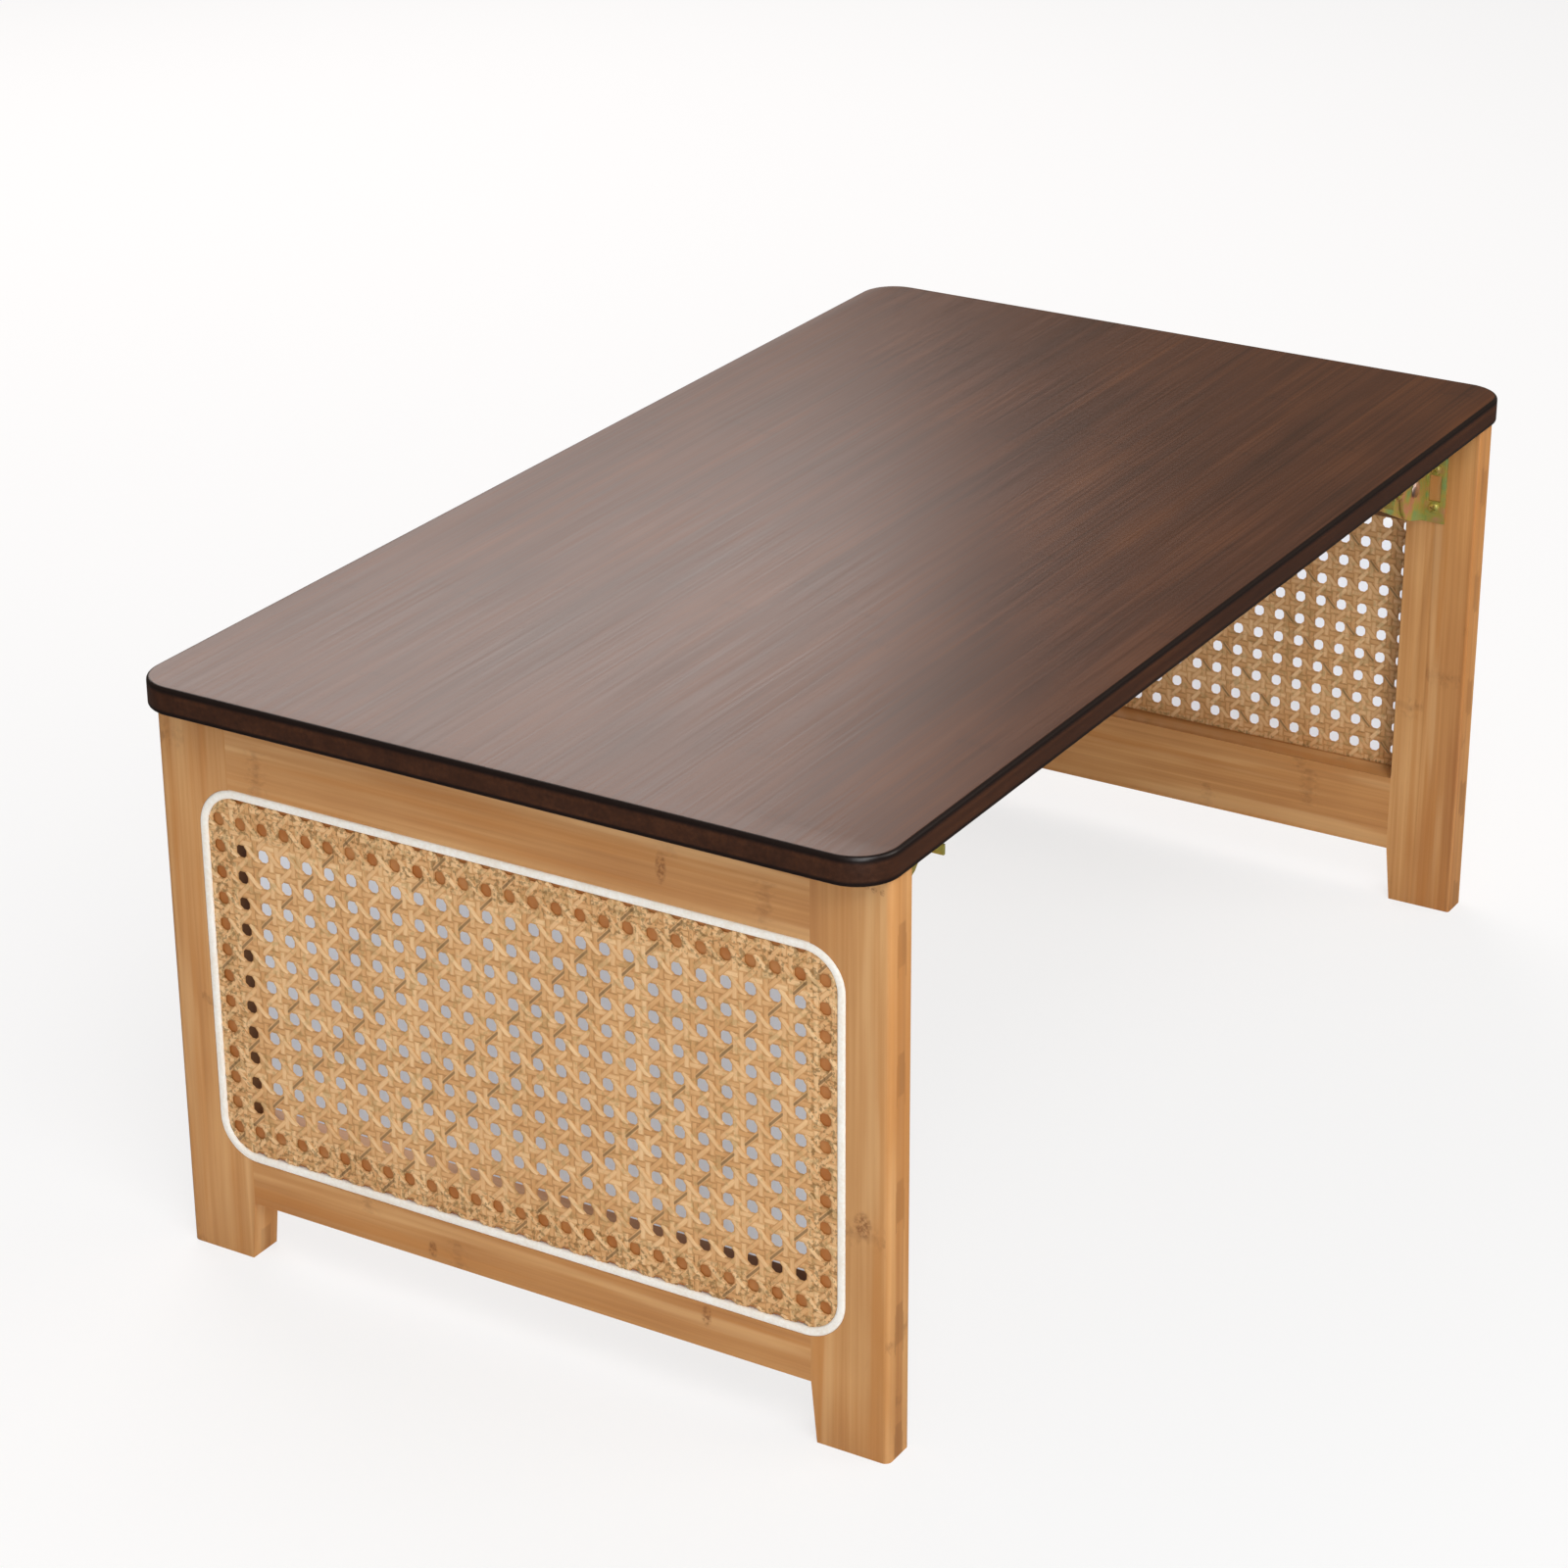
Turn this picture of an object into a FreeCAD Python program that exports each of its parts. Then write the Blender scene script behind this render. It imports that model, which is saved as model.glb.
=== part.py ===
import FreeCAD, Part
import math
import os
import Sketcher

# Low folding table: a bamboo board on two end frames with woven cane panels.
# Each frame folds in under the board on a pair of riveted, self-locking steel brackets.
# Millimetres. X runs along the board, Y across it, Z up; the origin is on the floor below the board's centre.

doc = FreeCAD.newDocument("folding_coffee_table")

# Driving sizes, one cell each; angles are in degrees.
driving_sizes = {
    "board_length": "690",
    "board_width": "390",
    "table_rise": "300",
    "board_thickness": "14",
    "board_corner_radius": "21",
    "board_edge_round": "2",
    "end_overhang": "16",
    "side_overhang": "1.5",
    "seat_gap": "0.3",
    "frame_thickness": "18",
    "leg_width": "39.5",
    "foot_taper": "3",
    "leg_edge_round": "3.5",
    "leg_back_round": "1.5",
    "rail_lift": "31",
    "low_rail_width": "43",
    "top_rail_width": "58",
    "tenon_thickness": "6",
    "tenon_length": "12",
    "tenon_cheek": "8.5",
    "tenon_shoulder": "7",
    "ledge_depth": "1.5",
    "groove_width": "4.6",
    "groove_depth": "6.5",
    "groove_over_leg": "17.5",
    "groove_over_rail": "20",
    "groove_corner_radius": "21",
    "cane_thickness": "1.4",
    "cane_lip": "0.8",
    "cane_lip_depth": "5",
    "cane_pitch_across": "12.4",
    "cane_pitch_up": "13.4",
    "cane_strand": "6.6",
    "spline_proud": "0.6",
    "plate": "1.5",
    "plate_gap": "0.3",
    "pivot_inset": "18",
    "pivot_drop": "32",
    "bracket_inset": "30",
    "cheek_running_gap": "0.6",
    "gusset_reach": "45",
    "gusset_nose": "38",
    "gusset_nose_drop": "1",
    "gusset_front_rise": "6",
    "gusset_back": "14",
    "gusset_lean": "70",
    "top_flange_width": "16",
    "top_screw_back": "4",
    "top_screw_pitch": "20",
    "leg_flange_width": "12.5",
    "leg_flange_drop": "23.5",
    "leg_flange_rise": "14",
    "leg_screw_drop": "15",
    "leg_screw_rise": "7",
    "slot_width": "7",
    "slot_length": "15",
    "wing_lean": "80",
    "tooth_reach": "4",
    "tooth_start": "2",
    "tooth_end": "8",
    "pawl_start": "9.5",
    "pawl_end": "16",
    "pawl_gap": "0.4",
    "lever_pivot_reach": "16",
    "lever_pivot_rise": "22",
    "lever_boss_radius": "4.5",
    "lever_tip": "48",
    "lever_pad_height": "5",
    "lever_pad_rise": "5",
    "lever_pad_width": "9",
    "pivot_pin_radius": "2.5",
    "pivot_head_radius": "4.8",
    "rivet_head_thickness": "1.5",
    "lever_pin_radius": "1.9",
    "lever_head_radius": "3.5",
    "pin_clearance": "0.05",
    "spring_wire": "0.9",
    "spring_width": "2.1",
    "spring_clearance": "0.3",
    "screw_radius": "1.5",
    "screw_bury": "9",
    "screw_head_radius": "3.2",
    "screw_head_thickness": "1.8",
    "screw_crown_share": "0.65",
    "pick_tolerance": "0.01",
}

sheet = doc.addObject("Spreadsheet::Sheet", "Sizes")
for row, (alias, value) in enumerate(driving_sizes.items(), start=1):
    sheet.set(f"A{row}", alias.replace("_", " "))
    sheet.set(f"B{row}", value)
    sheet.setAlias(f"B{row}", alias)

# Places that several pieces share, worked out from the sheet.
# Frame heights are from the floor; bracket places are from the fold pivot, inwards and upwards.
shared_places = {
    "underside": "Sizes.table_rise - Sizes.board_thickness",
    "frame_reach": "Sizes.board_length / 2 - Sizes.end_overhang",
    "frame_half_width": "Sizes.board_width / 2 - Sizes.side_overhang",
    "opening_half": "frame_half_width - Sizes.leg_width",
    "leg_top": "underside - Sizes.seat_gap",
    "low_rail_top": "Sizes.rail_lift + Sizes.low_rail_width",
    "top_rail_low": "underside - Sizes.top_rail_width",
    "groove_half": "opening_half + Sizes.groove_over_leg",
    "groove_low": "low_rail_top - Sizes.groove_over_rail",
    "groove_high": "top_rail_low + Sizes.groove_over_rail",
    "ledge_half": "groove_half - Sizes.groove_width",
    "ledge_low": "groove_low + Sizes.groove_width",
    "ledge_high": "groove_high - Sizes.groove_width",
    "ledge_corner_radius": "Sizes.groove_corner_radius - Sizes.groove_width",
    "pivot_reach": "frame_reach - Sizes.frame_thickness - Sizes.pivot_inset",
    "pivot_rise": "underside - Sizes.pivot_drop",
    "bracket_line": "frame_half_width - Sizes.bracket_inset",
    "half_gap": "Sizes.plate_gap / 2",
    "cheek_outer": "half_gap + Sizes.plate",
    "rim": "Sizes.pivot_inset - Sizes.cheek_running_gap",
    "tooth_tip": "rim + Sizes.tooth_reach",
    "pawl_inner": "rim + Sizes.pawl_gap",
    "pawl_outer": "tooth_tip + Sizes.pawl_gap",
    "screw_line": "half_gap + Sizes.leg_flange_width / 2",
    "screw_hole_radius": "Sizes.screw_radius + Sizes.pin_clearance",
    "top_screw_line": "half_gap + Sizes.top_flange_width / 2 + Sizes.plate / 2",
    "lever_pad_top": "Sizes.lever_pad_rise + Sizes.lever_pad_height",
    "spring_start": "cheek_outer + Sizes.spring_clearance",
    "spring_inner": "Sizes.lever_pin_radius + Sizes.spring_clearance",
    "spring_root": "spring_inner + Sizes.spring_wire / 4",
    "spring_outer": "spring_inner + Sizes.spring_wire",
    "spring_end": "spring_start + Sizes.spring_width",
}

places = doc.addObject("App::VarSet", "Places")
for name, formula in shared_places.items():
    places.addProperty("App::PropertyFloat", name)
    places.setExpression(name, formula)
doc.recompute()

nodes = []

# Sides of the small round details that repeat, and of the larger round edges of the brackets.
SCREW_SIDES = 6
HEAD_SIDES = 8
EDGE_SIDES = 20


def start_body(name):
    """A new sub-part, built from sketches and features."""
    body = doc.addObject("PartDesign::Body", name)
    body.Label = name
    nodes.append(body)
    return body


def start_sketch(body, role, offset="0"):
    """A sketch on one of the body's own origin planes, moved along the plane's normal."""
    sketch = body.newObject("Sketcher::SketchObject", body.Name + "_sketch")
    plane = next(item for item in body.Origin.OriginFeatures if item.Role == role)
    sketch.AttachmentSupport = [(plane, "")]
    sketch.MapMode = "FlatFace"
    sketch.setExpression("AttachmentOffset.Base.z", offset)
    return sketch


def hold(sketch, kind, formula, *geometry):
    """A dimension of the sketch, bound to a formula of the sheet's sizes."""
    value = float(sketch.evalExpression(formula))
    number = sketch.addConstraint(Sketcher.Constraint(kind, *geometry, value))
    sketch.setExpression(f"Constraints[{number}]", formula)


def draw_polygon(sketch, corners):
    """A closed outline of straight edges through corners given as pairs of formulas."""
    points = []
    for across, up in corners:
        points.append(FreeCAD.Vector(float(sketch.evalExpression(across)), float(sketch.evalExpression(up))))
    first = sketch.GeometryCount
    count = len(points)
    for index, point in enumerate(points):
        sketch.addGeometry(Part.LineSegment(point, points[(index + 1) % count]))
    for index, (across, up) in enumerate(corners):
        following = first + (index + 1) % count
        sketch.addConstraint(Sketcher.Constraint("Coincident", first + index, 2, following, 1))
        hold(sketch, "DistanceX", across, -1, 1, first + index, 1)
        hold(sketch, "DistanceY", up, -1, 1, first + index, 1)


def draw_rectangle(sketch, left, right, low, high):
    draw_polygon(sketch, [(left, low), (right, low), (right, high), (left, high)])


def draw_circle(sketch, across, up, radius):
    centre = FreeCAD.Vector(float(sketch.evalExpression(across)), float(sketch.evalExpression(up)))
    circle = Part.Circle(centre, FreeCAD.Vector(0, 0, 1), float(sketch.evalExpression(radius)))
    number = sketch.addGeometry(circle)
    hold(sketch, "DistanceX", across, -1, 1, number, 3)
    hold(sketch, "DistanceY", up, -1, 1, number, 3)
    hold(sketch, "Radius", radius, number)


def draw_many_sided(sketch, across, up, radius, sides):
    """A regular outline, for round details that repeat."""
    corners = []
    for number in range(sides):
        turn = f"{360 * number / sides:g} * 1deg"
        corners.append((f"{across} + {radius} * cos({turn})", f"{up} + {radius} * sin({turn})"))
    draw_polygon(sketch, corners)


def draw_rounded_rectangle(sketch, half, low, high, radius):
    """A rectangle, centred across, whose four corners are arcs tangent to its sides."""
    side, base, top, bend = (float(sketch.evalExpression(part)) for part in (half, low, high, radius))
    first = sketch.GeometryCount
    right = side - bend
    centres = [(right, base + bend), (right, top - bend), (-right, top - bend), (-right, base + bend)]
    quarter = math.pi / 2
    arcs = []
    for index, (across, up) in enumerate(centres):
        circle = Part.Circle(FreeCAD.Vector(across, up), FreeCAD.Vector(0, 0, 1), bend)
        arcs.append(Part.ArcOfCircle(circle, (index - 1) * quarter, index * quarter))
    for index, arc in enumerate(arcs):
        sketch.addGeometry(arc)
        sketch.addGeometry(Part.LineSegment(arc.EndPoint, arcs[(index + 1) % 4].StartPoint))
    for index in range(4):
        arc = first + 2 * index
        following = first + 2 * ((index + 1) % 4)
        sketch.addConstraint(Sketcher.Constraint("Tangent", arc, 2, arc + 1, 1))
        sketch.addConstraint(Sketcher.Constraint("Tangent", arc + 1, 2, following, 1))
        sketch.addConstraint(Sketcher.Constraint("Vertical" if index % 2 == 0 else "Horizontal", arc + 1))
        if index:
            sketch.addConstraint(Sketcher.Constraint("Equal", first, arc))
    hold(sketch, "Radius", radius, first)
    hold(sketch, "DistanceX", half, -1, 1, first + 1, 1)
    hold(sketch, "DistanceY", high, -1, 1, first + 3, 1)
    hold(sketch, "DistanceX", f"-({half})", -1, 1, first + 5, 1)
    hold(sketch, "DistanceY", low, -1, 1, first + 7, 1)


def add_feature(body, kind, sketch, length, turned=False):
    """A Pad or Pocket of the sketch; a length of None cuts all the way through."""
    feature = body.newObject("PartDesign::" + kind, f"{body.Name}_{kind.lower()}")
    feature.Profile = sketch
    if length is None:
        feature.Type = "ThroughAll"
    else:
        feature.setExpression("Length", length)
    feature.Reversed = turned
    before = body.Shape.Volume if kind == "Pocket" else 0
    doc.recompute()
    if kind == "Pocket" and not body.Shape.Volume < before:
        raise RuntimeError(f"{feature.Name} cuts nothing")
    return feature


def round_edges(body, radius, chosen):
    """A Fillet on the edges for which chosen(edge) is true."""
    base = body.Tip
    names = [f"Edge{number}" for number, edge in enumerate(base.Shape.Edges, start=1) if chosen(edge)]
    feature = body.newObject("PartDesign::Fillet", f"{body.Name}_fillet")
    feature.Base = (base, names)
    feature.setExpression("Radius", radius)
    doc.recompute()


def add_shape(name, shape):
    """A new sub-part whose shape is set directly: a net, or a group of separate like pieces."""
    feature = doc.addObject("Part::Feature", name)
    feature.Label = name
    feature.Shape = shape
    nodes.append(feature)
    return feature


def same(value, target):
    return abs(value - target) < sheet.pick_tolerance


# The two ends are alike and turned half round about the vertical, so each is built at the left end.
# end is -1 for the left and 1 for the right; hand is -1 or 1 for the frame's own -Y and +Y side.
def side_word(end, hand):
    return "front" if end * hand == 1 else "rear"


def end_word(end):
    return "left" if end == -1 else "right"


def place_on_frame(piece, end):
    """Seats a piece that is drawn with the frame's outer face at X zero."""
    turn = FreeCAD.Rotation(FreeCAD.Vector(0, 0, 1), 0 if end == -1 else 180)
    piece.Placement = FreeCAD.Placement(FreeCAD.Vector(end * places.frame_reach, 0, 0), turn)
    piece.setExpression("Placement.Base.x", f"{end} * Places.frame_reach")


def place_on_pivot(piece, end, hand):
    """Seats a piece that is drawn about the fold pivot, on the line between the two cheeks."""
    turn = FreeCAD.Rotation(FreeCAD.Vector(0, 0, 1), 0 if end == -1 else 180)
    base = FreeCAD.Vector(end * places.pivot_reach, -end * hand * places.bracket_line, places.pivot_rise)
    piece.Placement = FreeCAD.Placement(base, turn)
    piece.setExpression("Placement.Base.x", f"{end} * Places.pivot_reach")
    piece.setExpression("Placement.Base.y", f"{-end * hand} * Places.bracket_line")
    piece.setExpression("Placement.Base.z", "Places.pivot_rise")


# Board: one laminated bamboo panel with round corners, softened top edge and blind holes for the screws.
def make_board():
    board = start_body("tabletop")
    outline = start_sketch(board, "XY_Plane", "Places.underside")
    half_width = "Sizes.board_width / 2"
    draw_rounded_rectangle(
        outline, "Sizes.board_length / 2", f"-{half_width}", half_width, "Sizes.board_corner_radius"
    )
    add_feature(board, "Pad", outline, "Sizes.board_thickness")
    rise = sheet.table_rise
    round_edges(board, "Sizes.board_edge_round", lambda edge: same(edge.BoundBox.ZMin, rise))
    holes = start_sketch(board, "XY_Plane", "Places.underside")
    for end in (-1, 1):
        for across in (-1, 1):
            for reach in top_screw_reaches():
                inward = f"{end} * (Places.pivot_reach - ({reach}))"
                sideways = f"{across} * (Places.bracket_line - Places.top_screw_line)"
                draw_many_sided(holes, inward, sideways, "Sizes.screw_radius", SCREW_SIDES)
    add_feature(board, "Pocket", holes, "Sizes.screw_bury", turned=True)


def top_screw_reaches():
    """The three screws of a top bracket, as formulas of their place inwards from the pivot."""
    return [f"{step} * Sizes.top_screw_pitch - Sizes.top_screw_back" for step in range(3)]


LOW_RAIL = ("Sizes.rail_lift", "Places.low_rail_top")
TOP_RAIL = ("Places.top_rail_low", "Places.leg_top")
TENON_RISE = " + Sizes.tenon_shoulder"
TENON_FALL = " - Sizes.tenon_shoulder"
TENON_FAR_CHEEK = "Sizes.tenon_cheek + Sizes.tenon_thickness"


# Legs: square-edged bamboo posts, rounded down their outer corners and tapered inside below the rail.
def make_leg(end, hand):
    leg = start_body(f"{end_word(end)}_{side_word(end, hand)}_leg")
    outline = start_sketch(leg, "YZ_Plane")
    outer = f"{hand} * Places.frame_half_width"
    inner = f"{hand} * Places.opening_half"
    foot = f"{hand} * (Places.opening_half + Sizes.foot_taper)"
    corners = [(outer, "0"), (outer, "Places.leg_top"), (inner, "Places.leg_top")]
    corners += [(inner, "Sizes.rail_lift"), (foot, "0")]
    draw_polygon(outline, corners)
    add_feature(leg, "Pad", outline, "Sizes.frame_thickness")
    edge_line = hand * places.frame_half_width
    height = places.leg_top

    def is_corner(edge, depth):
        box = edge.BoundBox
        upright = same(box.YLength, 0) and same(box.ZLength, height)
        return upright and same(box.YMin, edge_line) and same(box.XMin, depth)

    round_edges(leg, "Sizes.leg_edge_round", lambda edge: is_corner(edge, 0))
    round_edges(leg, "Sizes.leg_back_round", lambda edge: is_corner(edge, sheet.frame_thickness))
    cut_cane_seat(leg)
    mortises = start_sketch(leg, "XZ_Plane", f"{-hand} * Places.opening_half")
    for low, high in (LOW_RAIL, TOP_RAIL):
        draw_rectangle(mortises, "Sizes.tenon_cheek", TENON_FAR_CHEEK, low + TENON_RISE, high + TENON_FALL)
    add_feature(leg, "Pocket", mortises, "Sizes.tenon_length", turned=hand == -1)
    screw_holes = start_sketch(leg, "YZ_Plane", "Sizes.frame_thickness")
    for height in leg_screw_heights():
        line = f"{hand} * (Places.bracket_line + Places.screw_line)"
        draw_many_sided(screw_holes, line, f"Places.pivot_rise + {height}", "Sizes.screw_radius", SCREW_SIDES)
    add_feature(leg, "Pocket", screw_holes, "Sizes.screw_bury")
    place_on_frame(leg, end)


def leg_screw_heights():
    """The two screws of a leg bracket, as formulas of their height from the pivot."""
    return ["-Sizes.leg_screw_drop", "Sizes.leg_screw_rise"]


def cut_cane_seat(timber):
    """The shallow ledge the cane lies on, and the groove round it that takes the spline."""
    ledge = start_sketch(timber, "YZ_Plane")
    draw_rounded_rectangle(
        ledge, "Places.groove_half", "Places.groove_low", "Places.groove_high", "Sizes.groove_corner_radius"
    )
    add_feature(timber, "Pocket", ledge, "Sizes.ledge_depth", turned=True)
    groove = start_sketch(timber, "YZ_Plane")
    draw_groove(groove)
    add_feature(timber, "Pocket", groove, "Sizes.groove_depth", turned=True)


def draw_groove(sketch, inner_margin=""):
    """The groove's loop; inner_margin widens its inner side outwards, for what sits beside the cane's lip."""
    draw_rounded_rectangle(
        sketch, "Places.groove_half", "Places.groove_low", "Places.groove_high", "Sizes.groove_corner_radius"
    )
    plus = f" + {inner_margin}" if inner_margin else ""
    minus = f" - {inner_margin}" if inner_margin else ""
    draw_rounded_rectangle(
        sketch,
        "Places.ledge_half" + plus,
        "Places.ledge_low" + minus,
        "Places.ledge_high" + plus,
        "Places.ledge_corner_radius" + plus,
    )


# Rails: tenoned between the legs, flush with them on both faces.
def make_rail(end, name, low, high):
    rail = start_body(f"{end_word(end)}_{name}")
    outline = start_sketch(rail, "YZ_Plane")
    draw_rectangle(outline, "-Places.opening_half", "Places.opening_half", low, high)
    add_feature(rail, "Pad", outline, "Sizes.frame_thickness")
    cut_cane_seat(rail)
    tenons = start_sketch(rail, "YZ_Plane", "Sizes.tenon_cheek")
    tenon_reach = "(Places.opening_half + Sizes.tenon_length)"
    draw_rectangle(tenons, f"-{tenon_reach}", tenon_reach, low + TENON_RISE, high + TENON_FALL)
    add_feature(rail, "Pad", tenons, "Sizes.tenon_thickness")
    place_on_frame(rail, end)


# Cane panel: the woven sheet is one net with a gap in each cell; its border turns down into the groove.
def make_cane_panel(end):
    lip_half = places.ledge_half + sheet.cane_lip
    lip_low = places.ledge_low - sheet.cane_lip
    lip_high = places.ledge_high + sheet.cane_lip
    lip_radius = places.ledge_corner_radius + sheet.cane_lip
    face_depth = sheet.ledge_depth - sheet.cane_thickness
    outer = rounded_wire(face_depth, lip_half, lip_low, lip_high, lip_radius)
    net = Part.makeFace([outer] + cane_gaps(face_depth), "Part::FaceMakerBullseye")
    net = net.extrude(FreeCAD.Vector(sheet.cane_thickness, 0, 0))
    inner = rounded_wire(
        face_depth, places.ledge_half, places.ledge_low, places.ledge_high, places.ledge_corner_radius
    )
    lip = Part.makeFace([outer, inner], "Part::FaceMakerBullseye")
    lip = lip.extrude(FreeCAD.Vector(sheet.cane_lip_depth, 0, 0))
    panel = add_shape(f"{end_word(end)}_cane_panel", net.fuse(lip).removeSplitter())
    place_on_frame(panel, end)


def rounded_wire(depth, half, low, high, radius):
    """A rectangle with round corners, centred across, in the plane X = depth."""
    straights = [
        (half, low + radius, half, high - radius),
        (half - radius, high, radius - half, high),
        (-half, high - radius, -half, low + radius),
        (radius - half, low, half - radius, low),
    ]
    centres = [
        (half - radius, high - radius),
        (radius - half, high - radius),
        (radius - half, low + radius),
        (half - radius, low + radius),
    ]
    edges = []
    for number, (start_y, start_z, end_y, end_z) in enumerate(straights):
        start = FreeCAD.Vector(depth, start_y, start_z)
        stop = FreeCAD.Vector(depth, end_y, end_z)
        edges.append(Part.LineSegment(start, stop).toShape())
        following = straights[(number + 1) % 4]
        angle = math.radians(90 * number + 45)
        centre_y, centre_z = centres[number]
        middle = FreeCAD.Vector(
            depth, centre_y + radius * math.cos(angle), centre_z + radius * math.sin(angle)
        )
        next_start = FreeCAD.Vector(depth, following[0], following[1])
        edges.append(Part.Arc(stop, middle, next_start).toShape())
    return Part.Wire(edges)


def cane_gaps(depth):
    """The gaps that show daylight: whole cells of the weave inside the frame's opening."""
    middle = (places.low_rail_top + places.top_rail_low) / 2
    half_gap_across = (sheet.cane_pitch_across - sheet.cane_strand) / 2
    half_gap_up = (sheet.cane_pitch_up - sheet.cane_strand) / 2
    opening_rise = (places.top_rail_low - places.low_rail_top) / 2
    columns = int((places.opening_half - half_gap_across) / sheet.cane_pitch_across)
    rows = int((opening_rise - half_gap_up) / sheet.cane_pitch_up)
    gaps = []
    for column in range(-columns, columns + 1):
        for row in range(-rows, rows + 1):
            across = column * sheet.cane_pitch_across
            up = middle + row * sheet.cane_pitch_up
            corners = [
                FreeCAD.Vector(depth, across - half_gap_across, up - half_gap_up),
                FreeCAD.Vector(depth, across + half_gap_across, up - half_gap_up),
                FreeCAD.Vector(depth, across + half_gap_across, up + half_gap_up),
                FreeCAD.Vector(depth, across - half_gap_across, up + half_gap_up),
            ]
            gaps.append(Part.makePolygon(corners + corners[:1]))
    return gaps


# Spline: a pale reed hammered into the groove on top of the cane, standing slightly proud.
def make_spline(end):
    spline = start_body(f"{end_word(end)}_spline")
    loop = start_sketch(spline, "YZ_Plane", "-Sizes.spline_proud")
    draw_groove(loop, "Sizes.cane_lip")
    add_feature(spline, "Pad", loop, "Sizes.groove_depth + Sizes.spline_proud")
    place_on_frame(spline, end)


# Brackets: plates pressed from sheet steel, drawn about the fold pivot.
# Each one's faces are measured along the frame's width, outwards from the line between the cheeks.
PIVOT = ("0", "0")
LEVER_PIVOT = ("Sizes.lever_pivot_reach", "Sizes.lever_pivot_rise")


def start_plate_sketch(body, hand, outward):
    return start_sketch(body, "XZ_Plane", f"{-hand} * ({outward})")


def pad_outward(body, hand, sketch, length):
    add_feature(body, "Pad", sketch, length, turned=hand == 1)


def polar(radius, angle):
    """A corner on a circle about the pivot, its angle up from the inward direction."""
    return (f"{radius} * cos({angle} * 1deg)", f"{radius} * sin({angle} * 1deg)")


# Top bracket: a cheek carrying both rivets, and a flange screwed up into the board.
def make_top_bracket(end, hand):
    bracket = start_body(f"{end_word(end)}_{side_word(end, hand)}_top_bracket")
    cheek = start_plate_sketch(bracket, hand, "-Places.cheek_outer")
    corners = [
        ("-Sizes.gusset_back", "Sizes.pivot_drop"),
        ("-Sizes.gusset_back", "0"),
        ("0", "0"),
        polar("Places.rim", "-Sizes.gusset_lean"),
        ("Sizes.gusset_nose", "-Sizes.gusset_nose_drop"),
        ("Sizes.gusset_reach", "Sizes.gusset_front_rise"),
        ("Sizes.gusset_reach", "Sizes.pivot_drop"),
    ]
    draw_polygon(cheek, corners)
    pad_outward(bracket, hand, cheek, "Sizes.plate")
    boss = start_plate_sketch(bracket, hand, "-Places.cheek_outer")
    draw_many_sided(boss, "0", "0", "Places.rim", EDGE_SIDES)
    pad_outward(bracket, hand, boss, "Sizes.plate")
    flange = start_plate_sketch(bracket, hand, "-(Places.half_gap + Sizes.top_flange_width)")
    flange_low = "Sizes.pivot_drop - Sizes.plate"
    draw_rectangle(flange, "-Sizes.gusset_back", "Sizes.gusset_reach", flange_low, "Sizes.pivot_drop")
    pad_outward(bracket, hand, flange, "Sizes.top_flange_width")
    rivet_holes = start_plate_sketch(bracket, hand, "0")
    draw_many_sided(rivet_holes, *PIVOT, "Sizes.pivot_pin_radius", HEAD_SIDES)
    draw_many_sided(rivet_holes, *LEVER_PIVOT, "Sizes.lever_pin_radius", HEAD_SIDES)
    add_feature(bracket, "Pocket", rivet_holes, "Places.cheek_outer", turned=hand == 1)
    screw_holes = start_sketch(bracket, "XY_Plane", "Sizes.pivot_drop")
    for reach in top_screw_reaches():
        line = f"{-hand} * Places.top_screw_line"
        draw_many_sided(screw_holes, reach, line, "Places.screw_hole_radius", SCREW_SIDES)
    add_feature(bracket, "Pocket", screw_holes, "Sizes.plate")
    place_on_pivot(bracket, end, hand)


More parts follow.
